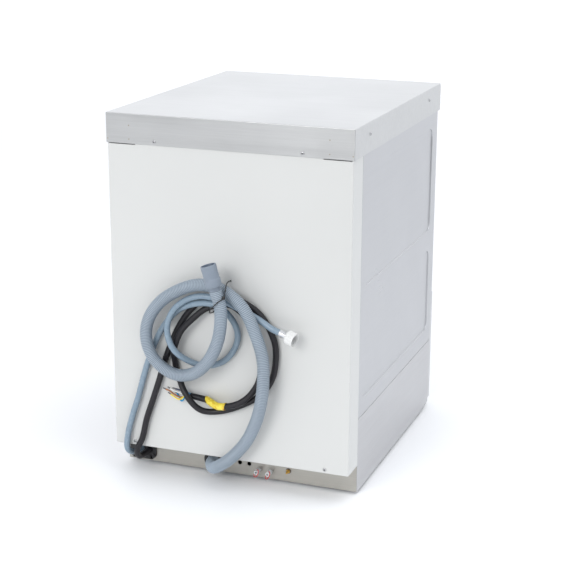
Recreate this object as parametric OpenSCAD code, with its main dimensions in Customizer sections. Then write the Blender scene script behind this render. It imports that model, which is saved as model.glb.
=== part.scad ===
// Undercounter dishwasher for a commercial kitchen: a stainless casing on a low base, a
// drop-down door, a wash chamber with two pairs of spinning arms, and the pumps below it.
// Its drain hose, inlet hose and supply cable come out of the base's rear wall and are
// bundled on the back panel. +Z is up, the door faces -Y, the back panel faces +Y.
// The origin is on the floor under the middle of the machine, handle and screws included.

/* [Casing] */
// Width over the top cover
body_w = 570; // [540:1:620]
// Depth over the top cover
body_d = 684; // [660:1:740]
// Height of the cover's top above the floor
body_h = 840; // [820:1:880]
// Height of the top cover's aprons
apron_h = 66; // [60:1:74]
// Thickness of the casing sheets
sheet = 1.2; // [1:0.1:1.6]
// How far the cover stands out past each side panel
cover_step = 2.7; // [2.4:0.1:3.5]
// Clearance between sheets that slide past each other
fit = 0.3; // [0.2:0.05:0.4]
// Lip of the cover over the control fascia
lip_h = 8; // [6:1:12]

/* [Base] */
// Gap between the base and the floor with the feet screwed right in
foot_lift = 7; // [7:0.5:9]
// Height of the base, up to the seam with the side panels
base_h = 174; // [168:1:176]
// Thickness of the base tray
tray_t = 1.5; // [1.2:0.1:2]
// How far the back panel stands behind the base's rear wall
rear_step = 66; // [60:1:76]
// Height of the back panel's lower edge
pan_bottom = 70; // [66:1:76]
// Height of the lower front panel's lower edge
kick_h = 22; // [18:1:30]
// Depth of the lower front panel's side returns
return_d = 15; // [12:1:18]

/* [Side pressings] */
// How far the two fields are pressed into a side panel
press_d = 2.5; // [1:0.1:2.6]
// Corner radius of the pressed fields
press_r = 24; // [12:1:34]
// Length of the pressed fields
press_l = 546; // [500:1:548]
// Height of the lower field
press_low_h = 208; // [190:1:212]
// Gap between the upper field and the cover's aprons
press_gap = 37; // [30:1:60]

/* [Door] */
// Height of the door's lower edge
door_bottom = 311; // [309:1:315]
// Thickness of the door's hollow outer part
door_t = 30; // [28:1:32]
// Depth of the raised plug on the door's inner side
plug_d = 9; // [7:1:10]
// Gap between the door and what surrounds it
door_gap = 0.8; // [0.7:0.1:1]
// Height and depth of the hinge axis from the door's lower front edge
hinge_in = 8; // [7.5:0.5:9]
// Radius of the hinge pins
hinge_r = 4; // [3.5:0.25:4.5]
// Length of the hinge arms' tails, which the springs pull
tail_l = 65; // [60:1:68]
// Length of the handle between its bends
handle_w = 260; // [200:5:340]
// Radius of the handle's tube
handle_r = 8; // [6:0.5:9]
// How far the handle stands out in front of the cover
handle_reach = 34; // [32:1:44]

/* [Wash chamber] */
// Gap between the side panels and the chamber's walls
tank_gap = 17.9; // [17:0.1:22]
// Height of the chamber's floor rim
tank_rim = 296; // [292:1:297]
// Gap between the chamber's ceiling and the cover
ceiling_gap = 68; // [62:1:74]
// Strip between the chamber's side walls and the door opening
mouth_side = 12; // [12:1:20]
// Height of the opening's lower edge
mouth_low = 340; // [338:1:344]
// Distance from the cover's top down to the opening's upper edge
mouth_drop = 85; // [83:1:92]
// Width of the door seal
seal_w = 12; // [8:0.5:12]
// Height of the basin's floor
basin_low = 204; // [200:1:210]
// Depth of the sump under the basin's floor
sump_d = 21; // [15:1:22]

/* [Wash arms] */
// Reach of the wash arms from their spindle
arm_reach = 240; // [200:2:250]
// Reach of the rinse arms
rinse_reach = 215; // [180:5:235]
// Radius of the spindles
spindle_r = 8; // [7:0.5:9]
// Running clearance of the arms on their spindles
run = 0.06; // [0.03:0.01:0.1]

/* [Controls] */
// Radius of the push buttons
button_r = 9; // [7:0.5:11]
// Travel of the push buttons
button_travel = 2.5; // [1.5:0.1:2.8]
// Spacing of the push buttons
button_pitch = 40; // [30:1:50]

/* [Feet] */
// Radius of the feet's pads
foot_r = 20; // [16:1:24]
// Radius of the feet's threaded spindles
stem_r = 5; // [4:0.5:6]

/* [Hoses and cable] */
// Diameter of the ribbed drain hose
drain_d = 28; // [20:1:28]
// Diameter of the water inlet hose
inlet_d = 14; // [10:1:14]
// Diameter of the supply cable
cable_d = 14; // [8:1:14]
// Radius of the drain hose's end cuff
cuff_r = 16.8; // [15:0.2:17]
// Length of the drain hose's end cuff
cuff_l = 56; // [40:1:60]
// Bore of the drain hose's end cuff
cuff_bore_r = 14.5; // [12:0.25:14.6]
// Bore of the inlet hose's union nut
nut_bore_r = 13.3; // [13:0.05:13.5]
// Depth of the union nut's bore
nut_bore_l = 12; // [10:0.5:13]

/* [Hidden] */
$fn = 48;
big = 1000;
cut = 1;

// Casing planes. The overall depth runs from the handle to the rear screws' heads.
half_w = body_w / 2;
screw_head = 2;
y_rear = (handle_reach + body_d - screw_head) / 2;
y_front = y_rear - body_d;
z_base = foot_lift;
z_seam = z_base + base_h;
z_apron = body_h - apron_h;
z_under = body_h - sheet;
side_x = half_w - cover_step;
side_in = side_x - sheet;
// Outer and inner face of the fields pressed into a side panel
field_x = side_x - press_d;
field_in = field_x - sheet;
seam = 0.8;

// Back panel: a deep pan whose face slides inside the cover's rear apron
pan_face = y_rear - sheet - fit;
pan_in = pan_face - sheet;
base_back = y_rear - rear_step;
base_back_in = base_back - sheet;
pan_front = base_back + fit;
pan_top = body_h - lip_h;

// Front panels
door_face = y_front + 5;
lower_face = y_front + 2;
lower_back = lower_face + return_d;
lower_top = door_bottom - 5;
side_front = door_face + 4;
door_top = z_apron - 2;
door_back = door_face + door_t;
door_flange = door_back + sheet;
frame_y = door_flange + plug_d + 1.8;
frame_t = 1.5;
frame_back = frame_y + frame_t;
bracket_t = 3;
door_x = side_in - bracket_t - door_gap;
fold_x = door_x + door_gap;
axis_y = door_face + hinge_in;
axis_z = door_bottom + hinge_in;
arm_x = door_x - 7.3;
arm_t = 4;

// Wash chamber
tank_t = 1.2;
tank_x = side_in - tank_gap - tank_t;
tank_top = body_h - ceiling_gap - tank_t;
tank_end = base_back - 14;
tank_mid = (frame_back + tank_end) / 2;
mouth_w = 2 * (tank_x - mouth_side);
mouth_high = body_h - mouth_drop;
service = [60, tank_rim - 36];
basin_half = (tank_end - frame_back) / 2 - tank_t;
ledge = 10;
filter_z = tank_rim - 8;
basin_rear = tank_mid + basin_half - ledge;
// The tails point down and back, so that a quarter turn of the door lifts their ends
tail_dip = tail_l * sin(45);
tail_r = 5.5;
spring_y = axis_y + tail_dip;
spring_r = 5;
flange_y = spring_y + 60;

// Spray arms
feed_r = 12;
lower_shoulder = tank_rim + 10;
upper_shoulder = tank_top - 18;
arm_gap = 0.3;
wash_hub_h = 16;
rinse_hub_h = 15;
hub_r = 20;

// Sump, pumps and boiler
floor_z = z_base + 1;
tray_top = floor_z + tray_t;
lug_top = floor_z + 32;
sump_x = -110;
sump_y = 60;
sump_r = 70;
sump_z = basin_low - sump_d;
pump_z = 110;
pump_r = 60;
pump_w = 46;
motor_r = 52;
motor_l = 147;
boiler_x = 190;
boiler_r = 62;

// Control fascia
fascia_t = 2.5;
fascia_x = half_w - sheet - fit;
fascia_y = y_front + 1;
fascia_low = z_apron + 1;
fascia_high = body_h - lip_h - fit;
button_z = (fascia_low + fascia_high) / 2;
button_x0 = 130;
flange_t = 1.2;
window = [70, 26];

// Feet
foot_x = side_in - 41.1;
foot_ys = [frame_back + foot_r + 8, base_back_in - foot_r - 35];
bush_r = 12;
bush_h = 22;

// Rear wall's fittings, from the machine's left (+X) to its right
entry = [side_in - 37.1, 38];
entry_size = [60, 48];
inlet_exit = entry + [3, 0];
cable_exit = entry - [18, 2];
drain_exit = [64, 34];
drain_hole_r = 20;
vent_holes = [[0, 36], [-23, 36]];
vent_r = 5;
dosing_xs = [-47, -75];
dosing_z = 25;
dosing_r = 5;
dosing_end = 20;
stud_pos = [-119, 33];
stud_r = 3;
lower_screws = [54 - side_in, side_in - 48];
lower_screw_z = 79;
rear_screws = [111 - side_in, side_in - 111];
rear_screw_z = z_apron + 8;
notch_l = 65;
notch_h = 2;
side_screw_ys = [y_front + 104, y_rear - 104];
side_screw_z = body_h - 27;
screw_r = 2;
hole_r = 2.2;
screw_l = 9;
screw_cap_r = 4.2;

// Cord routes: [x, distance behind the back panel's plane, height]
drain_route = [
    [drain_exit.x, -rear_step, drain_exit.y], [drain_exit.x, 10 - rear_step, drain_exit.y],
    [58, -34, 36], [40, -4, 42], [12, 20, 62], [-22, 32, 92], [-56, 34, 134],
    [-80, 36, 185], [-95, 44, 235], [-101, 47, 285], [-98, 43, 335], [-82, 45, 390],
    [-54, 47, 446], [-4, 40, 478], [52, 34, 483], [106, 34, 463], [152, 34, 428],
    [179, 34, 382], [181, 34, 335], [160, 34, 295], [116, 36, 271], [72, 40, 277],
    [34, 50, 307], [6, 60, 350], [-9, 67, 395], [-13, 73, 448], [-2, 74, 487]
];
inlet_route = [
    [inlet_exit.x, -rear_step, inlet_exit.y], [inlet_exit.x, 10 - rear_step, inlet_exit.y],
    [inlet_exit.x + 2, -40, 39], [inlet_exit.x + 4, -14, 46], [inlet_exit.x + 3, 8, 66],
    [246, 9, 100], [234, 9, 145], [219, 9, 190], [206, 9, 235], [192, 9, 280], [176, 9, 322],
    [157, 11, 360], [133, 14, 393],
    [102, 21, 421], [56, 24, 438], [16, 25, 437], [-14, 23, 415], [-27, 11, 377],
    [-20, 9, 340], [8, 9, 305], [50, 10, 290], [86, 20, 300], [113, 39, 328], [128, 39, 362],
    [127, 35, 395], [105, 33, 430], [64, 27, 453], [15, 25, 453], [-34, 25, 437],
    [-76, 24, 419], [-112, 26, 400], [-133, 30, 394]
];
cable_route = [
    [cable_exit.x, -rear_step, cable_exit.y], [cable_exit.x, 10 - rear_step, cable_exit.y],
    [cable_exit.x + 2, -38, 34], [cable_exit.x + 3, -10, 40], [cable_exit.x - 1, 8, 62],
    [210, 9, 95], [199, 9, 140], [182, 9, 190], [165, 9, 240], [150, 9, 288], [134, 9, 330],
    [113, 9, 375], [88, 9, 412],
    [52, 9, 444], [5, 9, 458], [-40, 9, 446], [-81, 9, 420], [-110, 9, 372], [-116, 9, 330],
    [-107, 9, 278], [-78, 9, 236], [-32, 9, 206], [18, 9, 186], [60, 20, 188], [91, 25, 220],
    [116, 10, 256], [124, 10, 290], [120, 23, 324], [105, 24, 364], [82, 24, 392],
    [44, 14, 425], [-4, 9, 437], [-44, 9, 414], [-70, 11, 365], [-82, 13, 315],
    [-76, 16, 265], [-42, 24, 222], [10, 25, 204], [50, 11, 210], [88, 8, 213]
];
// Routes of the five bare wires, past the first stretch that runs on as the cable does
wire_routes = [
    [[114, 9, 207], [126, 8, 210], [140, 7, 217], [150, 6, 220], [157, 6, 222]],
    [[114, 13, 203], [124, 13, 206], [134, 12, 211], [142, 11, 215]],
    [[106, 13, 201], [113, 9, 200], [119, 4, 207], [125, 4, 214], [130, 4, 217]],
    [[110, 4, 220], [122, 5, 223], [134, 5, 225]],
    [[112, 11, 218], [126, 12, 221], [138, 10, 225], [144, 9, 227]]
];
wire_d = 2.8;
wire_ring = 4.2;
// The tie runs round the whole bundle and, behind the panel, from one slot to the other
tie_route = [
    [14, -5, 452], [-6, -5, 487], [-6, 3, 489], [-9, 22, 492], [-14, 41, 491], [-20, 60, 487],
    [-23, 79, 474], [-14, 90, 466], [-3, 90, 455], [7, 80, 448], [15, 60, 443],
    [23, 40, 436], [32, 24, 427], [36, 16, 416], [34, 3, 414], [34, -5, 414], [15, -5, 449]
];
tie_d = 2.6;
tie_head = [5, 4, 6];
tie_slots = [[-6, 488], [34, 414]];
slot_r = 2.3;

drain_end = drain_route[len(drain_route) - 1];
cuff_dir = drain_end - drain_route[len(drain_route) - 2];
inlet_end = inlet_route[len(inlet_route) - 1];
nut_dir = inlet_end - inlet_route[len(inlet_route) - 2];
ferrule_r = 7.6;
nut_start = 18;
nut_l = 21;
collar_r = 11.8;
collar_t = 2;
nut_web = nut_l - nut_bore_l - collar_t - 2 * fit;
nut_r = 15.5;
stub_r = 5.6;
cable_last = len(cable_route) - 1;
cable_dir = cable_route[cable_last] - cable_route[cable_last - 1];
label_from = cable_route[cable_last - 2];
label_to = cable_route[cable_last - 1];
label_l = 36;

// A box between its lowest and highest corners
module block(low, high) {
    translate(low) cube(high - low);
}

// A shape and its mirror image across the machine's middle
module both_sides() {
    children();
    mirror([1, 0, 0]) children();
}

// A rectangle with round corners, centred
module rounded(size, r) {
    square([size.x - 2 * r, size.y], center = true);
    square([size.x, size.y - 2 * r], center = true);
    for (x = [-1, 1], y = [-1, 1])
        translate([x * (size.x / 2 - r), y * (size.y / 2 - r)]) circle(r);
}

// A flat outline in x and z, raised towards the back from y = from to y = to
module along_y(from, to) {
    translate([0, to, 0]) rotate([90, 0, 0]) linear_extrude(to - from) children();
}

// A flat outline in y and z, raised from x = from to x = to
module along_x(from, to) {
    translate([from, 0, 0]) rotate([90, 0, 90]) linear_extrude(to - from) children();
}

// A round bar along the depth or along the width
module bar_y(x, z, r, from, to) {
    translate([x, from, z]) rotate([-90, 0, 0]) cylinder(r = r, h = to - from);
}
module bar_x(y, z, r, from, to) {
    translate([from, y, z]) rotate([0, 90, 0]) cylinder(r = r, h = to - from);
}

// Turns what stands along +Z to lie along v, at the point p
module aim(p, v) {
    translate(p) rotate([0, acos(v.z / norm(v)), atan2(v.y, v.x)]) children();
}

// A round pipe through a list of points, with a ball-shaped elbow at each bend and at its end
module pipe_run(points, r) {
    for (i = [0 : len(points) - 2])
        aim(points[i], points[i + 1] - points[i]) cylinder(r = r, h = norm(points[i + 1] - points[i]));
    for (i = [1 : len(points) - 1])
        translate(points[i]) sphere(r = r + 3);
}

// A route measured from the back panel's plane, in the machine's frame
function placed(route) = [for (p = route) [p.x, y_rear + p.y, p.z]];
function unit(v) = v / norm(v);

// Direction of a route at point i, and the two directions across it. The first is carried
// along from ring to ring, so that the tube doesn't twist.
function heading(p, i) =
    unit(i == 0 ? p[1] - p[0]
        : i == len(p) - 1 ? p[i] - p[i - 1]
        : unit(p[i + 1] - p[i]) + unit(p[i] - p[i - 1]));
function across(p, i, last) = unit(last - (last * heading(p, i)) * heading(p, i));
function frames(p, i = 0, last = [1, 0, 0]) =
    i == len(p) ? []
    : let (a = across(p, i, last)) concat([a], frames(p, i + 1, a));

// One closed tube swept along a route, with a ring of points at each of its points
module swept_tube(route, d, sides) {
    points = placed(route);
    first = frames(points, 0, [0.31, 0.17, 0.93]);
    rings = [for (i = [0 : len(points) - 1], k = [0 : sides - 1])
        let (b = cross(heading(points, i), first[i]), a = 360 * k / sides)
            points[i] + d / 2 * (cos(a) * first[i] + sin(a) * b)];
    walls = [for (i = [0 : len(points) - 2], k = [0 : sides - 1])
        let (n = (k + 1) % sides)
            [i * sides + n, i * sides + k, (i + 1) * sides + k, (i + 1) * sides + n]];
    ends = [[for (k = [0 : sides - 1]) k],
        [for (k = [sides - 1 : -1 : 0]) (len(points) - 1) * sides + k]];
    polyhedron(rings, concat(walls, ends), convexity = 10);
}

// ---- Casing -------------------------------------------------------------------------

module top_cover() {
    color([0.93, 0.93, 0.95]) difference() {
        block([-half_w, y_front, z_apron], [half_w, y_rear, body_h]);
        block([-half_w + sheet, y_front - cut, z_apron - cut],
            [half_w - sheet, y_rear - sheet, body_h - lip_h]);
        block([-half_w + sheet, y_front + sheet, z_apron - cut],
            [half_w - sheet, y_rear - sheet, z_under]);
        for (x = rear_screws) bar_y(x, rear_screw_z, hole_r, y_rear - 2 * sheet, y_rear + cut);
        for (y = side_screw_ys) bar_x(y, side_screw_z, hole_r, -half_w - cut, half_w + cut);
    }
}

module back_panel() {
    color([0.9, 0.9, 0.9]) difference() {
        block([-side_x, pan_front, pan_bottom], [side_x, pan_face, pan_top]);
        block([-side_in, pan_front - cut, pan_bottom + sheet], [side_in, pan_in, body_h]);
        for (x = rear_screws) bar_y(x, rear_screw_z, hole_r, pan_in - cut, pan_face + cut);
        for (x = lower_screws) bar_y(x, lower_screw_z, hole_r, pan_in - cut, pan_face + cut);
        for (s = tie_slots) bar_y(s.x, s.y, slot_r, pan_in - cut, pan_face + cut);
        // Long notches that the cover's corners are lifted from
        both_sides() block([side_in - notch_l, pan_in - cut, z_apron - notch_h],
            [side_in - 2, pan_face + cut, z_apron + 4]);
    }
}

// Outline of a side panel in depth and height. Its front edge steps back behind the lower
// front panel and, above the door, behind the control fascia.
module side_outline() {
    low = z_seam + seam;
    polygon([
        [lower_back + fit, low], [base_back - 0.5, low], [base_back - 0.5, z_under],
        [frame_y + fit, z_under], [frame_y + fit, z_apron - fit], [side_front, z_apron - fit],
        [side_front, lower_top + fit], [lower_back + fit, lower_top + fit]
    ]);
}

// Lower edges and heights of the two pressed fields
high_field = z_seam + 91 + press_low_h;
press_fields = [
    [z_seam + 41, press_low_h],
    [high_field, z_apron - press_gap - high_field]
];

module side_panel() {
    press_mid = (frame_y + base_back) / 2 - 8;
    difference() {
        union() {
            along_x(side_in, side_x) side_outline();
            for (f = press_fields)
                along_x(field_in, side_x)
                    translate([press_mid, f[0] + f[1] / 2])
                        rounded([press_l + 2 * sheet, f[1] + 2 * sheet], press_r + sheet);
            // Front edge folded in beside the door
            block([fold_x, side_front, lower_top + fit], [side_x, side_front + sheet, z_apron - fit]);
            // Flange under the cover
            block([side_in - 12, frame_back + fit, z_under - sheet], [side_x, base_back - 20, z_under]);
        }
        for (f = press_fields)
            along_x(field_x, side_x + cut)
                translate([press_mid, f[0] + f[1] / 2]) rounded([press_l, f[1]], press_r);
        for (y = side_screw_ys) bar_x(y, side_screw_z, hole_r, side_in - cut, side_x + cut);
    }
}

module left_side_panel() {
    color([0.82, 0.83, 0.85]) side_panel();
}

module right_side_panel() {
    color([0.82, 0.83, 0.85]) mirror([1, 0, 0]) side_panel();
}

// The base panel's lower edge rises at the front, where the kick space begins
module base_side() {
    along_x(side_in, side_x) polygon([
        [base_back, z_base], [base_back, z_seam], [lower_back + fit, z_seam],
        [lower_back + fit, z_base + 6], [lower_back + 42, z_base]
    ]);
}

module left_base_panel() {
    color([0.8, 0.8, 0.81]) base_side();
}

module right_base_panel() {
    color([0.8, 0.8, 0.81]) mirror([1, 0, 0]) base_side();
}

module base_rear_wall() {
    bracket_w = 24;
    weld = 0.05;
    color([0.74, 0.73, 0.71]) {
        difference() {
            block([-side_in, base_back_in, z_base], [side_in, base_back, z_seam - fit]);
            along_y(base_back_in - cut, base_back + cut)
                translate(entry) rounded(entry_size, 12);
            bar_y(drain_exit.x, drain_exit.y, drain_hole_r, base_back_in - cut, base_back + cut);
            for (v = vent_holes) bar_y(v.x, v.y, vent_r, base_back_in - cut, base_back + cut);
            for (x = dosing_xs)
                bar_y(x, dosing_z, dosing_r + fit, base_back_in - cut, base_back + cut);
            bar_y(stud_pos.x, stud_pos.y, stud_r + fit, base_back_in - cut, base_back + cut);
        }
        // Brackets that the back panel's lower screws go into
        for (x = lower_screws) difference() {
            block([x - bracket_w / 2, base_back + weld, pan_bottom + sheet],
                [x + bracket_w / 2, pan_in, lower_screw_z + 9]);
            block([x - bracket_w, base_back + weld + sheet, pan_bottom + 2 * sheet],
                [x + bracket_w, pan_in - sheet, lower_screw_z + 10]);
            bar_y(x, lower_screw_z, hole_r, pan_in - 2 * sheet, pan_in + cut);
        }
    }
}

module base_tray() {
    rim_h = 24;
    front_h = 78;
    front = lower_back + 8;
    color([0.62, 0.63, 0.65]) difference() {
        union() {
            block([-side_in, front, floor_z], [side_in, base_back_in, tray_top]);
            both_sides()
                block([side_in - tray_t, front, floor_z], [side_in, base_back_in, floor_z + rim_h]);
            block([-side_in, front, floor_z], [side_in, front + tray_t, floor_z + front_h]);
            for (y = foot_ys, x = [-foot_x, foot_x])
                translate([x, y, floor_z]) cylinder(r = bush_r, h = bush_h);
            // Lugs that anchor the door springs
            both_sides()
                block([arm_x - 3, spring_y - 4, floor_z], [arm_x + arm_t + 3, spring_y + 4, lug_top]);
        }
        for (y = foot_ys, x = [-foot_x, foot_x])
            translate([x, y, floor_z - cut]) cylinder(r = stem_r + run, h = bush_h + 2 * cut);
    }
}

module lower_front_panel() {
    color([0.83, 0.84, 0.86]) difference() {
        block([-side_x, lower_face, kick_h], [side_x, lower_back, lower_top]);
        block([-side_in, lower_face + sheet, kick_h + sheet],
            [side_in, lower_back + cut, lower_top - sheet]);
    }
}

// Height and middle of the door opening
mouth = [mouth_w, mouth_high - mouth_low];
mouth_mid = (mouth_high + mouth_low) / 2;

module front_frame() {
    slot = [axis_z - tail_dip - 6, axis_z + tail_dip + 6];
    color([0.8, 0.81, 0.83]) difference() {
        union() {
            block([-side_in, frame_y, tray_top], [side_in, frame_back, z_under]);
            both_sides()
                block([field_in - frame_t, frame_y, tray_top], [field_in, frame_y + 17, z_under - sheet]);
            block([-side_in, frame_y, z_under - frame_t - sheet],
                [side_in, frame_y + 17, z_under - sheet]);
        }
        along_y(frame_y - cut, frame_back + cut)
            translate([0, mouth_mid]) rounded(mouth, 12);
        // Service opening behind the lower front panel
        along_y(frame_y - cut, frame_back + cut)
            translate([0, (service[0] + service[1]) / 2]) rounded([mouth_w, service[1] - service[0]], 12);
        // Slots for the hinge arms' tails, and notches over the tray's rims
        both_sides() {
            block([arm_x - 3, frame_y - cut, slot[0]], [arm_x + arm_t + 3, frame_back + cut, slot[1]]);
            block([side_in - tray_t - fit, frame_y - cut, tray_top - cut],
                [side_in + cut, frame_y + 18, floor_z + 25]);
        }
    }
}

module door_seal() {
    ring = [mouth_w + 2 * seal_w, mouth.y + 2 * seal_w];
    color([0.16, 0.16, 0.17]) difference() {
        along_y(door_flange + 0.4, frame_y) translate([0, mouth_mid]) rounded(ring, 12 + seal_w);
        along_y(door_flange - cut, frame_y + cut) translate([0, mouth_mid]) rounded(mouth, 12);
    }
}

// ---- Controls -----------------------------------------------------------------------

button_xs = [for (i = [0 : 2]) button_x0 + i * button_pitch];
window_x = -120;
board_back = 14;
board_y = fascia_y + board_back;
boss_xs = [-60, 60];

module control_fascia() {
    color([0.24, 0.25, 0.27]) difference() {
        union() {
            difference() {
                block([-fascia_x, fascia_y, fascia_low], [fascia_x, frame_y, fascia_high]);
                block([-fascia_x + fascia_t, fascia_y + fascia_t, fascia_low + fascia_t],
                    [fascia_x - fascia_t, frame_y + cut, fascia_high - fascia_t]);
            }
            for (x = boss_xs, z = [fascia_low + 14, fascia_high - 14])
                bar_y(x, z, 4, fascia_y + 1, board_y);
        }
        for (x = button_xs)
            bar_y(x, button_z, button_r + fit, fascia_y - cut, fascia_y + fascia_t + cut);
        along_y(fascia_y - cut, fascia_y + fascia_t + cut)
            translate([window_x, button_z]) square(window, center = true);
    }
}

// A button's cap, the flange that keeps it behind the fascia, and its stem
module push_button(x) {
    inner = fascia_y + fascia_t + fit;
    bar_y(x, button_z, button_r, fascia_y - 2, inner);
    bar_y(x, button_z, button_r + 1.5, inner, inner + flange_t);
    bar_y(x, button_z, 3, inner + flange_t, board_y - button_travel - 1);
}

module power_button() {
    color([0.75, 0.16, 0.14]) push_button(button_xs[0]);
}

module program_button() {
    color([0.75, 0.76, 0.78]) push_button(button_xs[1]);
}

module start_button() {
    color([0.2, 0.55, 0.3]) push_button(button_xs[2]);
}

module display_window() {
    glass = window - [fit, fit];
    color([0.1, 0.12, 0.14]) along_y(fascia_y, fascia_y + fascia_t - 0.5)
        translate([window_x, button_z]) square(glass, center = true);
}

module control_board() {
    color([0.1, 0.35, 0.2]) {
        block([window_x - 45, board_y, fascia_low + 6],
            [button_xs[2] + 20, board_y + 1.6, fascia_high - 6]);
        block([-30, board_y + 1.6, button_z - 10], [0, board_y + 18, button_z + 14]);
        for (x = [20, 44]) block([x, board_y + 1.6, button_z - 8], [x + 18, board_y + 16, button_z + 10]);
        block([window_x - 34, fascia_y + fascia_t + 1.5, button_z - 12],
            [window_x + 34, board_y, button_z + 12]);
    }
}

// ---- Door ---------------------------------------------------------------------------

module door_outer_panel() {
    color([0.83, 0.84, 0.86]) difference() {
        block([-door_x, door_face, door_bottom], [door_x, door_back, door_top]);
        block([-door_x + sheet, door_face + sheet, door_bottom + sheet],
            [door_x - sheet, door_back + cut, door_top - sheet]);
        bar_x(axis_y, axis_z, hinge_r + 0.5, -door_x - cut, door_x + cut);
        // Slots in the door's lower edge for the hinge arms' tails
        both_sides() block([arm_x - 1, axis_y - 2, door_bottom - cut],
            [arm_x + arm_t + 1, door_back + cut, door_bottom + sheet + cut]);
    }
}

// Flange that closes the door's back, with a raised plug that fills the chamber's mouth
module door_inner_panel() {
    plug = mouth - [24, 24];
    color([0.78, 0.79, 0.81]) difference() {
        union() {
            block([-door_x, door_back, door_bottom], [door_x, door_flange, door_top]);
            along_y(door_back, door_flange + plug_d) translate([0, mouth_mid]) rounded(plug, 14);
        }
        along_y(door_back - cut, door_flange + plug_d - sheet)
            translate([0, mouth_mid]) rounded(plug - [2 * sheet, 2 * sheet], 14 - sheet);
    }
}

// A bent tube with a round foot at each end
module door_handle() {
    bend = 16;
    z = door_top - 36;
    y = y_front - handle_reach + handle_r;
    color([0.86, 0.87, 0.88]) {
        bar_x(y, z, handle_r, -handle_w / 2, handle_w / 2);
        both_sides() {
            translate([handle_w / 2, y + bend, z]) rotate([0, 0, -90])
                rotate_extrude(angle = 90) translate([bend, 0]) circle(handle_r);
            bar_y(handle_w / 2 + bend, z, handle_r, y + bend, door_face);
            bar_y(handle_w / 2 + bend, z, handle_r + 4, door_face - 3, door_face);
        }
    }
}

// Steel arms inside the door. Each carries the door on its pin and has a tail for a spring.
module door_hinge_arms() {
    r = 6.5;
    color([0.55, 0.56, 0.58]) both_sides() difference() {
        union() {
            along_x(arm_x, arm_x + arm_t) {
                translate([axis_y, axis_z]) circle(r);
                translate([axis_y, axis_z]) rotate(-45)
                    translate([0, 1 - tail_r]) square([tail_l, 2 * (tail_r - 1)]);
                translate([spring_y, axis_z - tail_dip]) circle(tail_r);
                translate([axis_y - r + 2, axis_z]) square([door_back - axis_y + r - 2, 100]);
            }
            bar_x(spring_y, axis_z - tail_dip, 2, arm_x - 2, arm_x + arm_t + 2);
        }
        bar_x(axis_y, axis_z, hinge_r + run, arm_x - cut, arm_x + arm_t + cut);
        // Opening between the arm's front edge and the door's back
        along_x(arm_x - cut, arm_x + arm_t + cut)
            translate([axis_y + 6, axis_z + 24]) square([door_back - axis_y - 12, 60]);
    }
}

// Plates welded inside the side panels, with the pins that the door turns on
module hinge_brackets() {
    color([0.5, 0.51, 0.53]) both_sides() {
        block([side_in - bracket_t, side_front + 1.5, lower_top + 2], [side_in, frame_y, axis_z + 31]);
        bar_x(axis_y, axis_z, hinge_r, arm_x - 5, side_in - bracket_t);
    }
}

// Close-wound springs from the tray's lugs to the hinge arms' tails
module door_springs() {
    h = axis_z - tail_dip - tail_r - fit - lug_top;
    turns = 36;
    pitch = h / turns;
    color([0.45, 0.46, 0.48]) both_sides() translate([arm_x + arm_t / 2, spring_y, lug_top])
        rotate_extrude() polygon(concat(
            [[0, 0], [spring_r - 1.4, 0]],
            [for (i = [0 : turns - 1], s = [0.25, 0.75])
                [s < 0.5 ? spring_r - 1.4 : spring_r, (i + s) * pitch]],
            [[spring_r - 1.4, h], [0, h]]));
}

// ---- Wash chamber -------------------------------------------------------------------

// Outline of the chamber in width and height, with round upper corners
module chamber_outline(grow) {
    w = tank_x + grow;
    top = tank_top + grow;
    r = 20 + grow;
    low = grow > 0 ? tank_rim : tank_rim - cut;
    translate([-w, low]) square([2 * w, top - r - low]);
    translate([-w + r, top - 2 * r]) square([2 * (w - r), 2 * r]);
    for (x = [-1, 1]) translate([x * (w - r), top - r]) circle(r);
}

module tank_shell() {
    color([0.76, 0.77, 0.79]) difference() {
        along_y(frame_back, tank_end) chamber_outline(tank_t);
        along_y(frame_back - cut, tank_end + cut) chamber_outline(0);
        translate([0, tank_mid, tank_top - cut]) cylinder(r = feed_r + fit, h = 5);
    }
}

module tank_back_wall() {
    color([0.76, 0.77, 0.79]) along_y(tank_end, tank_end + tank_t) chamber_outline(tank_t);
}

// A flat outline in x and y of the chamber's plan, less a margin all round
module plan_outline(margin, r) {
    translate([0, tank_mid])
        rounded([2 * (tank_x - margin), 2 * (basin_half + tank_t) - 2 * margin], r);
}

module tank_basin() {
    rim = [tank_x + tank_t, field_in];
    color([0.74, 0.75, 0.77]) difference() {
        union() {
            // Rim that carries the chamber, cut short at the front for the door springs
            block([-rim[0], frame_back, tank_rim - tank_t], [rim[0], base_back_in - fit, tank_rim]);
            block([-rim[1], flange_y, tank_rim - tank_t], [rim[1], base_back_in - fit, tank_rim]);
            translate([0, 0, filter_z - tank_t]) linear_extrude(tank_rim - filter_z)
                plan_outline(0, 30);
            translate([0, 0, basin_low]) linear_extrude(filter_z - basin_low)
                plan_outline(ledge - tank_t, 30);
            translate([sump_x, sump_y, sump_z]) cylinder(r = sump_r + tank_t, h = sump_d);
        }
        translate([0, 0, filter_z]) linear_extrude(tank_rim) plan_outline(tank_t, 30);
        translate([0, 0, basin_low + tank_t]) linear_extrude(tank_rim) plan_outline(ledge, 30);
        translate([sump_x, sump_y, sump_z + tank_t]) cylinder(r = sump_r, h = sump_d + cut);
        translate([0, tank_mid, basin_low - cut]) cylinder(r = feed_r + fit, h = 5);
        for (x = heater_xs) bar_y(x, heater_z, 6 + fit, basin_rear - cut, basin_rear + 4);
    }
}

heater_x = 175;
heater_half = 25;
heater_xs = [heater_x - heater_half, heater_x + heater_half];
heater_z = basin_low + 21;
heater_bend = tank_mid - 100;

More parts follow.
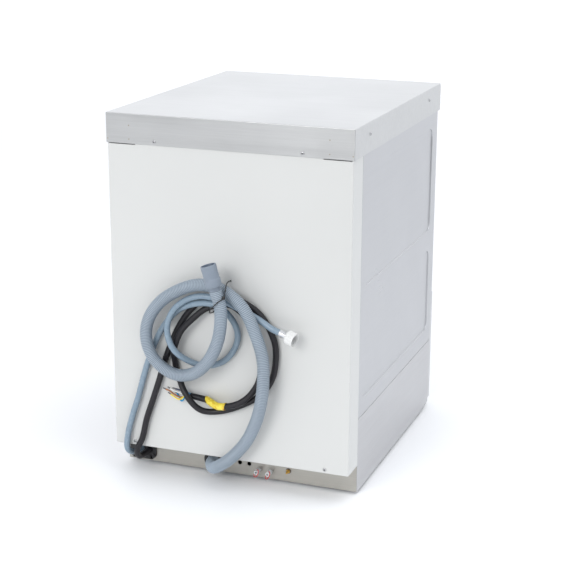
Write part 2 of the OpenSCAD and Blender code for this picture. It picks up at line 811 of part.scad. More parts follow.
// A hairpin heating element on a flange in the basin's rear wall
module tank_heater() {
    color([0.68, 0.66, 0.62]) {
        for (x = heater_xs) {
            bar_y(x, heater_z, 4, heater_bend, basin_rear);
            bar_y(x, heater_z, 6, basin_rear, basin_rear + 12);
        }
        translate([heater_x, heater_bend, heater_z]) rotate([0, 0, 180])
            rotate_extrude(angle = 180) translate([heater_half, 0]) circle(4);
        along_y(basin_rear - 3, basin_rear) translate([heater_x, heater_z]) rounded([80, 28], 13);
    }
}

strainer_r = 55;
overflow_pos = [120, tank_mid + 120];

// Two flat filter plates on the basin's ledge, and the strainer basket in the sump
module tank_filters() {
    t = 1.2;
    color([0.66, 0.67, 0.69]) {
        difference() {
            translate([0, 0, filter_z]) linear_extrude(t) plan_outline(tank_t + 1, 28);
            block([-0.5, -big, 0], [0.5, big, big]);
            translate([0, tank_mid, filter_z - cut]) cylinder(r = feed_r + 3, h = 5);
            translate([sump_x, sump_y, filter_z - cut]) cylinder(r = strainer_r + 1, h = 5);
        }
        translate([sump_x, sump_y, 0]) difference() {
            union() {
                translate([0, 0, sump_z + tank_t])
                    cylinder(r = strainer_r, h = filter_z + t - sump_z - tank_t);
                translate([0, 0, filter_z + t]) cylinder(r = strainer_r + 6, h = t);
            }
            translate([0, 0, sump_z + tank_t + t]) cylinder(r = strainer_r - t, h = big);
        }
    }
}

module overflow_pipe() {
    color([0.86, 0.86, 0.84]) translate([overflow_pos.x, overflow_pos.y, basin_low + tank_t])
        difference() {
            union() {
                cylinder(r = 15, h = 74);
                cylinder(r = 21, h = 6);
            }
            translate([0, 0, -cut]) cylinder(r = 12.5, h = big);
        }
}

// Angle rails for the rack, fixed to the chamber's side walls
module rack_rails() {
    rail_z = mouth_low + 10;
    color([0.72, 0.73, 0.75]) both_sides() along_y(frame_back + 12, tank_end - 12) polygon([
        [tank_x, rail_z], [tank_x, rail_z + 26], [tank_x - 1.5, rail_z + 26],
        [tank_x - 1.5, rail_z + 1.5], [tank_x - 14, rail_z + 1.5], [tank_x - 14, rail_z]
    ]);
}

// ---- Spray arms ---------------------------------------------------------------------

lower_wash_z = lower_shoulder + arm_gap;
lower_rinse_z = lower_wash_z + wash_hub_h + arm_gap;
lower_cap_z = lower_rinse_z + rinse_hub_h + arm_gap;
upper_wash_z = upper_shoulder - arm_gap - wash_hub_h;
upper_rinse_z = upper_wash_z - arm_gap - rinse_hub_h;
upper_cap_z = upper_rinse_z - arm_gap;
cap_h = 6;
riser_y = base_back + 13;
pump_face = pump_r + 20;

// Pipes from the wash pump to the two spindles that the arms turn on
module wash_manifold() {
    over = tank_top + tank_t + 26;
    pipe_r = 10;
    climb = base_back_in - pipe_r - 5;
    color([0.7, 0.71, 0.73]) {
        translate([0, tank_mid, 0]) {
            translate([0, 0, basin_low + tank_t]) cylinder(r = 20, h = 3);
            translate([0, 0, sump_z]) cylinder(r = feed_r, h = lower_shoulder - sump_z);
            translate([0, 0, lower_shoulder])
                cylinder(r = spindle_r, h = lower_cap_z - lower_shoulder + cap_h);
            translate([0, 0, lower_cap_z]) cylinder(r = 13, h = cap_h);
            translate([0, 0, tank_top - 3]) cylinder(r = 20, h = 3);
            translate([0, 0, upper_shoulder]) cylinder(r = feed_r, h = over - upper_shoulder);
            translate([0, 0, upper_cap_z - cap_h])
                cylinder(r = spindle_r, h = upper_shoulder - upper_cap_z + cap_h);
            translate([0, 0, upper_cap_z - cap_h]) cylinder(r = 13, h = cap_h);
        }
        pipe_run([
            [sump_x, sump_y + pump_face, pump_z], [sump_x, climb, pump_z], [sump_x, climb, z_seam + 9],
            [sump_x, riser_y, basin_low + 36], [sump_x, riser_y, over], [0, tank_mid, over]
        ], pipe_r);
        pipe_run([
            [sump_x, climb - 60, pump_z], [0, tank_mid + 150, sump_z], [0, tank_mid, sump_z]
        ], pipe_r);
    }
}

// A flat spray arm with round ends, tapering from its hub, with a row of jets
module spray_arm(reach, hub, tip, t, hub_h, hub_z, jets, jet_side) {
    difference() {
        union() {
            for (s = [-1, 1]) translate([0, 0, (hub_h - t) / 2]) linear_extrude(t) hull() {
                circle(hub, $fn = 32);
                translate([s * (reach - tip), 0]) circle(tip, $fn = 32);
            }
            cylinder(r = hub_r, h = hub_h);
            for (s = [-1, 1], i = [1 : jets])
                translate([s * (hub_r + i * (reach - tip - hub_r) / jets), 0, hub_z])
                    cylinder(r = 3.5, h = 1.5, $fn = 24);
        }
        translate([0, 0, -cut]) cylinder(r = spindle_r + run, h = hub_h + 2 * cut);
    }
}

wash_t = 11;
rinse_t = 7;

module lower_wash_arm() {
    color([0.8, 0.81, 0.83]) translate([0, tank_mid, lower_wash_z])
        spray_arm(arm_reach, 18, 13, wash_t, wash_hub_h, (wash_hub_h + wash_t) / 2, 5, 1);
}

module lower_rinse_arm() {
    color([0.85, 0.86, 0.87]) translate([0, tank_mid, lower_rinse_z]) rotate([0, 0, 90])
        spray_arm(rinse_reach, 10, 7, rinse_t, rinse_hub_h, (rinse_hub_h + rinse_t) / 2, 4, 1);
}

module upper_wash_arm() {
    color([0.8, 0.81, 0.83]) translate([0, tank_mid, upper_wash_z])
        spray_arm(arm_reach, 18, 13, wash_t, wash_hub_h, (wash_hub_h - wash_t) / 2 - 1.5, 5, -1);
}

module upper_rinse_arm() {
    color([0.85, 0.86, 0.87]) translate([0, tank_mid, upper_rinse_z]) rotate([0, 0, 90])
        spray_arm(rinse_reach, 10, 7, rinse_t, rinse_hub_h, (rinse_hub_h - rinse_t) / 2 - 1.5, 4, -1);
}

// ---- Pumps, boiler and electrics in the base ----------------------------------------

module wash_pump_housing() {
    half = pump_w / 2;
    color([0.3, 0.31, 0.33]) {
        translate([sump_x - half, sump_y, pump_z]) rotate([0, 90, 0]) rotate_extrude() polygon([
            [0, 0], [pump_r - 12, 0], [pump_r, 10], [pump_r, pump_w - 10], [pump_r - 6, pump_w], [0, pump_w]
        ]);
        translate([sump_x, sump_y, pump_z]) cylinder(r = 22, h = sump_z - pump_z);
        bar_y(sump_x, pump_z, 13, sump_y, sump_y + pump_face);
        block([sump_x - half + 4, sump_y - 40, tray_top], [sump_x + half - 4, sump_y + 40, pump_z - 30]);
    }
}

// A finned motor on a stand, with its fan cowl at the far end
module wash_pump_motor() {
    from = sump_x + pump_w / 2;
    cowl = motor_l - 26;
    fins = floor((cowl - 20) / 10);
    color([0.42, 0.44, 0.47]) {
        translate([from, sump_y, pump_z]) rotate([0, 90, 0]) rotate_extrude() polygon(concat(
            [[0, 0], [motor_r, 0], [motor_r, 14]],
            [for (i = [0 : fins - 1], p = [[-4, 0], [-4, 5], [-1, 6], [-1, 9]])
                [motor_r + p.x, 14 + 10 * i + p.y]],
            [[motor_r - 4, cowl], [motor_r, cowl], [motor_r, motor_l - 4], [motor_r - 6, motor_l],
                [0, motor_l]]));
        block([from + 40, sump_y - 30, tray_top + 6], [from + 100, sump_y + 30, pump_z - motor_r + 12]);
        block([from + 34, sump_y - 44, tray_top], [from + 106, sump_y + 44, tray_top + 6]);
    }
}

module drain_pump() {
    y_end = base_back - 6;
    color([0.22, 0.24, 0.26]) {
        bar_y(drain_exit.x, 44, 30, y_end - 86, y_end - 24);
        bar_y(drain_exit.x, 44, 22, y_end - 130, y_end - 86);
        bar_y(drain_exit.x, drain_exit.y, 13, y_end - 24, y_end);
        block([drain_exit.x - 20, y_end - 80, tray_top], [drain_exit.x + 20, y_end - 30, 40]);
    }
}

// A drum with round edges, lying along the depth
module drum(z, from, l, r, edge) {
    translate([boiler_x, from, z]) rotate([-90, 0, 0]) rotate_extrude() {
        translate([0, edge]) square([r, l - 2 * edge]);
        square([r - edge, l]);
        for (d = [edge, l - edge]) translate([r - edge, d]) circle(edge);
    }
}

// A boiler on two saddles, with its element's flange at the front
module rinse_boiler() {
    half = 140;
    dome = 26;
    wall = 2;
    y = tank_mid - 10;
    z = tray_top + boiler_r + 6;
    color([0.7, 0.7, 0.71]) {
        difference() {
            union() {
                drum(z, y - half, 2 * half, boiler_r, dome);
                bar_y(boiler_x, z, 24, y - half - 8, y - half + wall);
                for (d = [-70, 70])
                    block([boiler_x - 40, y + d - 8, tray_top], [boiler_x + 40, y + d + 8, tray_top + 24]);
            }
            drum(z, y - half + wall, 2 * (half - wall), boiler_r - wall, dome - wall);
            bar_y(boiler_x, z, 10, y - half - 9, y);
        }
        bar_y(boiler_x, z, 14, y - half - 22, y - half - 8);
    }
}

module inlet_valve() {
    y_end = base_back - 8;
    color([0.88, 0.88, 0.85]) {
        bar_y(inlet_exit.x, inlet_exit.y, 8, y_end - 14, y_end);
        block([inlet_exit.x - 14, y_end - 26, tray_top],
            [inlet_exit.x + 14, y_end - 14, inlet_exit.y + 14]);
        translate([inlet_exit.x, y_end - 20, inlet_exit.y + 14]) cylinder(r = 6, h = 34);
    }
}

module dosing_pumps() {
    y_end = base_back - 22;
    color([0.35, 0.37, 0.4]) for (x = dosing_xs) {
        block([x - 12, y_end - 30, tray_top], [x + 12, y_end, 66]);
        bar_y(x, 48, 11, y_end - 46, y_end - 30);
    }
}

module terminal_block() {
    y_end = base_back_in;
    color([0.85, 0.83, 0.76]) translate([cable_exit.x - 106, y_end, 92]) {
        block([0, -16, 0], [80, 0, 4]);
        block([0, -12, 4], [80, 0, 20]);
        for (i = [0 : 4]) block([4 + i * 15, -22, 4], [14 + i * 15, -12, 16]);
    }
}

// ---- Feet ---------------------------------------------------------------------------

// A levelling foot: a bevelled pad and a spindle that screws into the tray's bush
module foot(x, y) {
    color([0.2, 0.2, 0.21]) translate([x, y, 0]) rotate_extrude() polygon([
        [0, 0], [foot_r - 2, 0], [foot_r, 2], [foot_r, z_base - 3], [foot_r - 8, z_base - 0.5],
        [stem_r + 3, z_base - 0.5], [stem_r + 3, z_base + 0.7], [stem_r, z_base + 0.7],
        [stem_r, z_base + 46], [stem_r - 1, z_base + 47], [0, z_base + 47]
    ]);
}

module front_left_foot() {
    foot(foot_x, foot_ys[0]);
}
module front_right_foot() {
    foot(-foot_x, foot_ys[0]);
}
module rear_left_foot() {
    foot(foot_x, foot_ys[1]);
}
module rear_right_foot() {
    foot(-foot_x, foot_ys[1]);
}

// ---- Fasteners and rear fittings ----------------------------------------------------

// A pan-head screw along +Z, with the underside of its head at the origin
module screw(l) {
    rotate_extrude() polygon([
        [0, screw_head], [screw_cap_r - 1.6, screw_head], [screw_cap_r, 0.5], [screw_cap_r, 0],
        [screw_r, 0], [screw_r, -l], [0, -l]
    ]);
}

module casing_screws() {
    color([0.85, 0.85, 0.86]) {
        for (x = rear_screws)
            translate([x, y_rear, rear_screw_z]) rotate([-90, 0, 0]) screw(screw_l);
        for (x = lower_screws)
            translate([x, pan_face, lower_screw_z]) rotate([-90, 0, 0]) screw(screw_l);
        for (y = side_screw_ys) both_sides()
            translate([half_w, y, side_screw_z]) rotate([0, 90, 0]) screw(screw_l);
    }
}

// Rubber plugs in the rear wall. Each hose starts on the plug's blind floor.
module hose_grommets() {
    floor_y = base_back;
    color([0.07, 0.07, 0.07]) {
        difference() {
            union() {
                along_y(floor_y - 8, floor_y)
                    translate(entry) rounded(entry_size - [2 * fit, 2 * fit], 12 - fit);
                along_y(floor_y, floor_y + 5) translate(entry) rounded(entry_size + [6, 6], 15);
            }
            bar_y(inlet_exit.x, inlet_exit.y, inlet_d / 2 + fit, floor_y, floor_y + 6);
            bar_y(cable_exit.x, cable_exit.y, cable_d / 2 + fit, floor_y, floor_y + 6);
        }
        difference() {
            union() {
                bar_y(drain_exit.x, drain_exit.y, drain_hole_r - fit, floor_y - 6, floor_y);
                bar_y(drain_exit.x, drain_exit.y, drain_hole_r + 3, floor_y, floor_y + 6);
            }
            bar_y(drain_exit.x, drain_exit.y, drain_d / 2 + fit, floor_y, floor_y + 7);
        }
    }
}

module dosing_tubes() {
    color([0.9, 0.91, 0.92]) for (x = dosing_xs) difference() {
        bar_y(x, dosing_z, dosing_r, base_back - 22, base_back + dosing_end);
        bar_y(x, dosing_z, dosing_r - 2, base_back - 10, base_back + dosing_end + cut);
    }
}

// Wire rings that hang on the dosing tubes' ends
module tube_rings() {
    ring_r = 8.5;
    wire = 1.2;
    color([0.8, 0.1, 0.12]) for (x = dosing_xs)
        translate([x, base_back + 13, dosing_z + dosing_r + 0.3 - ring_r + wire]) rotate([90, 0, 12])
            rotate_extrude() translate([ring_r, 0]) circle(wire);
}

module earth_stud() {
    y = base_back;
    color([0.8, 0.6, 0.25]) {
        bar_y(stud_pos.x, stud_pos.y, stud_r, y - 8, y + 15);
        translate([stud_pos.x, y, stud_pos.y]) rotate([-90, 0, 0]) cylinder(r = 7, h = 1.2);
        translate([stud_pos.x, y + 1.2, stud_pos.y]) rotate([-90, 0, 0]) cylinder(r = 5.8, h = 5, $fn = 6);
        translate([stud_pos.x, y - 6.5, stud_pos.y]) rotate([-90, 0, 0])
            cylinder(r = 5.8, h = 6.5 - sheet, $fn = 6);
    }
}

// ---- Hoses and cable ----------------------------------------------------------------

module drain_hose() {
    color([0.6, 0.65, 0.71]) swept_tube(drain_route, drain_d, 12);
}

// Smooth rubber end of the drain hose, with a thicker collar
module drain_cuff() {
    color([0.62, 0.67, 0.73]) aim(placed([drain_end])[0], cuff_dir) rotate_extrude() polygon([
        [0, 0], [cuff_r + 1.2, 0], [cuff_r + 1.8, 3], [cuff_r + 1.8, 22], [cuff_r, 25],
        [cuff_r, cuff_l - 1], [cuff_r - 0.6, cuff_l], [cuff_bore_r, cuff_l], [cuff_bore_r, 10], [0, 10]
    ]);
}

module inlet_hose() {
    color([0.6, 0.68, 0.73]) swept_tube(inlet_route, inlet_d, 10);
}

// Crimped sleeve and the flanged tail that the union nut turns on
module inlet_ferrule() {
    seat = nut_start + nut_web + fit;
    color([0.85, 0.86, 0.88]) aim(placed([inlet_end])[0], nut_dir) rotate_extrude() polygon([
        [0, 0], [ferrule_r, 0], [ferrule_r, nut_start - fit], [stub_r, nut_start - fit],
        [stub_r, seat], [collar_r, seat], [collar_r, seat + collar_t], [0, seat + collar_t]
    ]);
}

module inlet_nut() {
    flutes = 12;
    color([0.95, 0.95, 0.94]) aim(placed([inlet_end])[0], nut_dir) translate([0, 0, nut_start])
        difference() {
            union() {
                cylinder(r = nut_r - 2, h = 4);
                translate([0, 0, 3]) linear_extrude(nut_l - 6) difference() {
                    circle(nut_r);
                    for (i = [0 : flutes - 1]) rotate(i * 360 / flutes) translate([nut_r + 1, 0]) circle(2);
                }
                translate([0, 0, nut_l - 4]) cylinder(r = nut_r, h = 4);
            }
            translate([0, 0, -cut]) cylinder(r = stub_r + fit, h = nut_web + 2 * cut);
            translate([0, 0, nut_web]) cylinder(r = collar_r + fit, h = nut_bore_l);
            translate([0, 0, nut_l - nut_bore_l]) cylinder(r = nut_bore_r, h = nut_bore_l + cut);
        }
}

module power_cable() {
    color([0.2, 0.2, 0.22]) swept_tube(cable_route, cable_d, 10);
}

// A sleeve of printed film round the cable, left blank
module cable_label() {
    run_dir = label_to - label_from;
    start = label_from + unit(run_dir) * 3;
    color([0.9, 0.82, 0.2]) aim(placed([start])[0], run_dir) difference() {
        cylinder(r = cable_d / 2 + 1.1, h = label_l);
        translate([0, 0, -cut]) cylinder(r = cable_d / 2 + 0.1, h = big);
    }
}

// Five wires that leave the sheath in a ring and then spread
module cable_wires() {
    along = unit(cable_dir);
    up = across([cable_route[cable_last], cable_route[cable_last] + cable_dir], 0, [0, 0, 1]);
    color([0.5, 0.35, 0.25]) for (i = [0 : len(wire_routes) - 1])
        let (a = 72 * i - 144, out = wire_ring * (cos(a) * up + sin(a) * cross(along, up)),
            start = cable_route[cable_last] + fit * along + out)
            swept_tube(concat([start, start + 8 * along], wire_routes[i]), wire_d, 8);
}

module cable_tie() {
    color([0.06, 0.06, 0.06]) {
        swept_tube(tie_route, tie_d, 8);
        translate(placed([tie_route[6]])[0] - tie_head / 2) cube(tie_head);
    }
}

top_cover();
back_panel();
left_side_panel();
right_side_panel();
left_base_panel();
right_base_panel();
base_rear_wall();
base_tray();
lower_front_panel();
front_frame();
door_seal();
control_fascia();
power_button();
program_button();
start_button();
display_window();
control_board();
door_outer_panel();
door_inner_panel();
door_handle();
door_hinge_arms();
hinge_brackets();
door_springs();
tank_shell();
tank_back_wall();
tank_basin();
rack_rails();
wash_manifold();
lower_wash_arm();
lower_rinse_arm();
upper_wash_arm();
upper_rinse_arm();
tank_filters();
overflow_pipe();
tank_heater();
wash_pump_housing();
wash_pump_motor();
drain_pump();
rinse_boiler();
inlet_valve();
dosing_pumps();
terminal_block();
front_left_foot();
front_right_foot();
rear_left_foot();
rear_right_foot();
casing_screws();
hose_grommets();
dosing_tubes();
tube_rings();
earth_stud();
drain_hose();
drain_cuff();
inlet_hose();
inlet_ferrule();
inlet_nut();
power_cable();
cable_label();
cable_wires();
cable_tie();
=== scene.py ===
import math

import bmesh
import bpy
from mathutils import Matrix, Vector


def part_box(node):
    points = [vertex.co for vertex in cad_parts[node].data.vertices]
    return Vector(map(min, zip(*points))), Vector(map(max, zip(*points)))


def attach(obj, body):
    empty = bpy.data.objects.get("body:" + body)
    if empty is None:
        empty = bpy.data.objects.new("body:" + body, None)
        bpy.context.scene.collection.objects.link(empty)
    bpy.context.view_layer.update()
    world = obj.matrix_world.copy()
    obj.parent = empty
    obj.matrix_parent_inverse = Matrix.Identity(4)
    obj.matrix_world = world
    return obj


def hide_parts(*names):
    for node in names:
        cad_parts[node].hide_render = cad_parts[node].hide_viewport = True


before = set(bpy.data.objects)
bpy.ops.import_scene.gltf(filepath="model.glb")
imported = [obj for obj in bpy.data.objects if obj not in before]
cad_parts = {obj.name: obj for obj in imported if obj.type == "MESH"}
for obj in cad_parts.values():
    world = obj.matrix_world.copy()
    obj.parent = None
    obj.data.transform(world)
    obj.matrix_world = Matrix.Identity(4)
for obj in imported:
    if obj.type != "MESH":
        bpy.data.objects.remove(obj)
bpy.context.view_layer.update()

# ---- Studio --------------------------------------------------------------------------
# A wide pale floor under an even white tent of light. A soft box high on the machine's
# right lays a faint cool shadow, and a warmer one behind the machine lights its back.

FLOOR_HALF = 30.0
FLOOR_NEAR, FLOOR_FAR, SWEEP_GLOW = 0.97, 0.38, 0.16
TENT_LOW, TENT_HIGH = 1.45, 0.95
TENT_FAR, TENT_NEAR = 1.0, 0.73
LIGHTS = [("soft_box", (-2.0, 0.6, 4.8), 3.4, 62, (0.94, 0.97, 1.0)),
          ("fill_box", (0.7, 4.8, 2.6), 2.4, 97, (1.0, 0.995, 0.985))]
LIT_SPOT = Vector((0, 0, 0.4))
EYE = Vector((-1.1867, 3.1950, 1.3798))
EYE_TURN, EYE_DIP, EYE_ROLL = 200.378, 16.332, 0.266
LENS_MM, SENSOR_MM = 93.0, 36.0

scene = bpy.context.scene
scene.view_settings.view_transform = "Standard"


def feed(node, sockets):
    """Puts values or links on a node's sockets."""
    for name, value in sockets.items():
        if isinstance(value, bpy.types.NodeSocket):
            node.id_data.links.new(value, node.inputs[name])
        else:
            node.inputs[name].default_value = value


def put(tree, kind, sockets=None, **settings):
    """A node with its settings, and with values or links on its sockets."""
    node = tree.nodes.new(kind)
    for name, value in settings.items():
        setattr(node, name, value)
    feed(node, sockets or {})
    return node


def own_place(tree):
    """A point's place in the piece's own coordinates."""
    return put(tree, "ShaderNodeTexCoord").outputs["Object"]


def noise(tree, vector, scale, detail=2.0, rough=0.5):
    """Soft noise over the given coordinates."""
    return put(tree, "ShaderNodeTexNoise", {
        "Vector": vector, "Scale": scale, "Detail": detail, "Roughness": rough}).outputs["Fac"]


def ramp(tree, value, start, end, low=0.0, high=1.0, smooth=False):
    """A value carried over from the range start to end into the range low to high."""
    return put(tree, "ShaderNodeMapRange", {
        "Value": value, "From Min": start, "From Max": end, "To Min": low, "To Max": high},
        interpolation_type="SMOOTHSTEP" if smooth else "LINEAR").outputs[0]


def worked(tree, operation, *values):
    """The result of one step of arithmetic on values or links."""
    return put(tree, "ShaderNodeMath", dict(enumerate(values)), operation=operation).outputs[0]


def scaled(tree, colour, by):
    """A colour times a number."""
    return put(tree, "ShaderNodeVectorMath", {0: colour, "Scale": by},
               operation="SCALE").outputs[0]


def blend(tree, kind, factor, first, second):
    """The first colour or value, turned into the second by the factor."""
    return put(tree, "ShaderNodeMix", {"Factor": factor, "A": first, "B": second},
               data_type=kind).outputs["Result"]


def fresh_material(name):
    """An empty node material and its Principled shader, already on the output."""
    material = bpy.data.materials.new(name)
    material.use_nodes = True
    tree = material.node_tree
    tree.nodes.clear()
    shader = put(tree, "ShaderNodeBsdfPrincipled")
    put(tree, "ShaderNodeOutputMaterial", {"Surface": shader.outputs[0]})
    return material, tree, shader


def take(*pieces):
    """Selects only these pieces, with the first one active. With none, nothing is selected."""
    if bpy.context.object and bpy.context.object.mode != "OBJECT":
        bpy.ops.object.mode_set(mode="OBJECT")
    bpy.ops.object.select_all(action="DESELECT")
    for piece in pieces:
        piece.select_set(True)
    if pieces:
        bpy.context.view_layer.objects.active = pieces[0]


# The floor's colour darkens towards the eye, painted shade for light falling off, so that
# it lights the machine's back less; and it glows faintly far off, so that it stays white up
# to its end
take()
bpy.ops.mesh.primitive_plane_add(size=2 * FLOOR_HALF)
floor = bpy.context.object
floor.name = "studio_floor"
floor_paint, tree, shader = fresh_material("studio_floor_paint")
ground = own_place(tree)
tint = blend(tree, "RGBA", noise(tree, ground, 1.3, 3.0), (0.975, 0.985, 1.0, 1),
             (0.99, 0.995, 1.0, 1))
aside = put(tree, "ShaderNodeVectorMath", {0: ground, 1: (-0.5, 1, 0)}, operation="DOT_PRODUCT")
painted_falloff = ramp(tree, aside.outputs["Value"], 1.0, 3.0, FLOOR_NEAR, FLOOR_FAR, smooth=True)
spread = put(tree, "ShaderNodeSeparateXYZ", {"Vector": ground})
lit = ramp(tree, spread.outputs["Y"], -2.0, -7.0, 0.0, SWEEP_GLOW, smooth=True)
feed(shader, {"Base Color": scaled(tree, tint, painted_falloff), "Roughness": 0.6,
              "Emission Color": (0.98, 0.99, 1.0, 1), "Emission Strength": lit})
floor.data.materials.append(floor_paint)

# The tent is brighter low down and on the side away from the eye
world = bpy.data.worlds.new("studio_tent")
world.use_nodes = True
tree = world.node_tree
sky = put(tree, "ShaderNodeTexCoord")
split = put(tree, "ShaderNodeSeparateXYZ", {"Vector": sky.outputs["Generated"]})
glow = ramp(tree, split.outputs["Z"], 0.35, 0.8, TENT_LOW, TENT_HIGH, smooth=True)
toward = ramp(tree, split.outputs["Y"], -0.7, 0.5, TENT_FAR, TENT_NEAR, smooth=True)
feed(tree.nodes["Background"], {"Color": (0.97, 0.985, 1.02, 1),
                                "Strength": worked(tree, "MULTIPLY", glow, toward)})
scene.world = world

for name, spot, size, watts, colour in LIGHTS:
    lamp = bpy.data.lights.new(name, "AREA")
    lamp.shape = "DISK"
    lamp.size = size
    lamp.energy = watts
    lamp.color = colour
    holder = bpy.data.objects.new(name, lamp)
    scene.collection.objects.link(holder)
    holder.location = spot
    holder.rotation_mode = "QUATERNION"
    holder.rotation_quaternion = (LIT_SPOT - Vector(spot)).to_track_quat("-Z", "Y")

# The eye stands behind the machine on its right, and looks down on it a little
turn, dip, roll = (math.radians(a) for a in (EYE_TURN, EYE_DIP, EYE_ROLL))
ahead = Vector((-math.sin(turn) * math.cos(dip), math.cos(turn) * math.cos(dip),
                -math.sin(dip)))
level = ahead.cross(Vector((0, 0, 1))).normalized()
upright = level.cross(ahead)
rightward = level * math.cos(roll) + upright * math.sin(roll)
upward = upright * math.cos(roll) - level * math.sin(roll)
lens = bpy.data.cameras.new("eye")
lens.lens, lens.sensor_width = LENS_MM, SENSOR_MM
lens.clip_start, lens.clip_end = 0.1, 200
camera = bpy.data.objects.new("eye", lens)
scene.collection.objects.link(camera)
camera.matrix_world = Matrix.Translation(EYE) @ Matrix(
    [rightward, upward, -ahead]).transposed().to_4x4()
scene.camera = camera

# ---- Drain hose ----------------------------------------------------------------------
# A corrugated hose of soft blue-grey PVC. It leaves the rear wall through a rubber ring,
# rises in front of the back panel, makes one coil and stands up through its middle.

# Lengths are in metres where no other unit is given
BACK = 0.358
CORD_SIDES = 20
DRAIN_D = 0.028
RIB_PITCH, RIB_DEPTH = 0.0037, 0.0016
# The height of one rib, from its crest into the groove and back
RIB = [1.0, 0.6, 0.0, 0.6]
# The hose's middle line: millimetres across, out from the back panel, and up
DRAIN_LINE = [
    (64, -66, 34), (64, -56, 34), (58, -34, 36), (40, -4, 42), (12, 20, 62), (-22, 32, 92),
    (-56, 34, 134), (-80, 36, 185), (-95, 44, 235), (-101, 47, 285), (-98, 43, 335),
    (-82, 45, 390), (-54, 47, 446), (-4, 40, 478), (52, 34, 483), (106, 34, 463),
    (152, 34, 428), (179, 34, 382), (181, 34, 335), (160, 34, 295), (116, 36, 271),
    (72, 40, 277), (34, 50, 307), (6, 60, 350), (-9, 67, 395), (-13, 73, 448), (-2, 74, 487)]


def placed(line):
    """Points given in millimetres across, behind the back panel and up, in the frame."""
    return [Vector((x / 1000, BACK + off / 1000, z / 1000)) for x, off, z in line]


def smooth_line(points, step):
    """A smooth line through the points, cut into even steps of about that length."""
    last, cuts = len(points) - 1, 24
    lean = [(points[min(i + 1, last)] - points[max(i - 1, 0)]).normalized()
            for i in range(last + 1)]
    fine = [points[0]]
    for i in range(last):
        a, b = points[i], points[i + 1]
        reach = (b - a).length / 3
        for k in range(1, cuts + 1):
            t = k / cuts
            u = 1 - t
            fine.append(u ** 3 * a + 3 * u * u * t * (a + reach * lean[i])
                        + 3 * u * t * t * (b - reach * lean[i + 1]) + t ** 3 * b)
    far = [0.0]
    for a, b in zip(fine, fine[1:]):
        far.append(far[-1] + (b - a).length)
    count = max(2, round(far[-1] / step))
    line, k = [], 0
    for i in range(count + 1):
        s = far[-1] * i / count
        while k < len(far) - 2 and far[k + 1] < s:
            k += 1
        t = (s - far[k]) / max(far[k + 1] - far[k], 1e-9)
        line.append(fine[k].lerp(fine[k + 1], min(max(t, 0), 1)))
    return line


def ring_frames(line, first=(0.31, 0.17, 0.93)):
    """The direction of the line at each point, with two directions across it. They start from
    `first`, and don't twist along the way."""
    last = len(line) - 1
    side = Vector(first)
    frames = []
    for i in range(last + 1):
        ahead = (line[min(i + 1, last)] - line[max(i - 1, 0)]).normalized()
        side = (side - side.dot(ahead) * ahead).normalized()
        frames.append((ahead, side, ahead.cross(side)))
    return frames


def finished(piece, body, materials, nodes=()):
    """Gives a piece its finishes, its body and the CAD nodes that it stands for."""
    for material in materials:
        piece.data.materials.append(material)
    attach(piece, body)
    if nodes:
        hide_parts(*nodes)
    return piece


def new_piece(name, points, faces, materials, nodes):
    """A smooth mesh piece on the casing, made from points and faces."""
    mesh = bpy.data.meshes.new(name)
    mesh.from_pydata([tuple(p) for p in points], [], faces)
    mesh.validate()
    mesh.polygons.foreach_set("use_smooth", [True] * len(mesh.polygons))
    piece = bpy.data.objects.new(name, mesh)
    scene.collection.objects.link(piece)
    return finished(piece, "casing", materials, nodes)


def tube_mesh(line, radii, sides, start=0):
    """Points and faces of a closed tube along a line, with one radius for each point."""
    points, faces = [], []
    for p, r, (_, side, other) in zip(line, radii, ring_frames(line)):
        for k in range(sides):
            a = math.tau * k / sides
            points.append(p + r * (math.cos(a) * side + math.sin(a) * other))
    for i in range(len(line) - 1):
        for k in range(sides):
            n = (k + 1) % sides
            base = start + i * sides
            faces.append((base + k, base + n, base + sides + n, base + sides + k))
    faces.append(tuple(start + k for k in reversed(range(sides))))
    faces.append(tuple(start + (len(line) - 1) * sides + k for k in range(sides)))
    return points, faces


def group(name, inputs, outputs):
    """A shader node group with named sockets, and its input and output nodes."""
    tree = bpy.data.node_groups.new(name, "ShaderNodeTree")
    for title, kind, value in inputs:
        socket = tree.interface.new_socket(title, in_out="INPUT", socket_type="NodeSocket" + kind)
        socket.default_value = value
    for title, kind in outputs:
        tree.interface.new_socket(title, in_out="OUTPUT", socket_type="NodeSocket" + kind)
    return tree, tree.nodes.new("NodeGroupInput"), tree.nodes.new("NodeGroupOutput")


# Clouds: slow, uneven change of tone and gloss, as handling and cleaning leave
clouds, into, out = group(
    "clouds", [("Color", "Color", (1, 1, 1, 1)), ("Size", "Float", 6.0), ("Tone", "Float", 0.04),
               ("Roughness", "Float", 0.5), ("Gloss Change", "Float", 0.08)],
    [("Color", "Color"), ("Roughness", "Float")])
where = own_place(clouds)
broad = noise(clouds, where, into.outputs["Size"], 4.0, 0.6)
swing = ramp(clouds, broad, 0.3, 0.7, -1.0, 1.0)
toned = worked(clouds, "MULTIPLY_ADD", swing, into.outputs["Tone"], 1.0)
glossed = worked(clouds, "MULTIPLY_ADD", swing, into.outputs["Gloss Change"],
                 into.outputs["Roughness"])
feed(out, {"Color": scaled(clouds, into.outputs["Color"], toned), "Roughness": glossed})

# Grain: the fine pebbled skin of moulded rubber and plastic, and of powder paint
grain, into, out = group("grain", [("Size", "Float", 900.0), ("Coarse", "Float", 0.3)],
                         [("Height", "Float")])
where = own_place(grain)
fine = noise(grain, where, into.outputs["Size"])
wide = noise(grain, where, worked(grain, "MULTIPLY", into.outputs["Size"], 0.16), 1.0)
feed(out, {"Height": blend(grain, "FLOAT", into.outputs["Coarse"], fine, wide)})


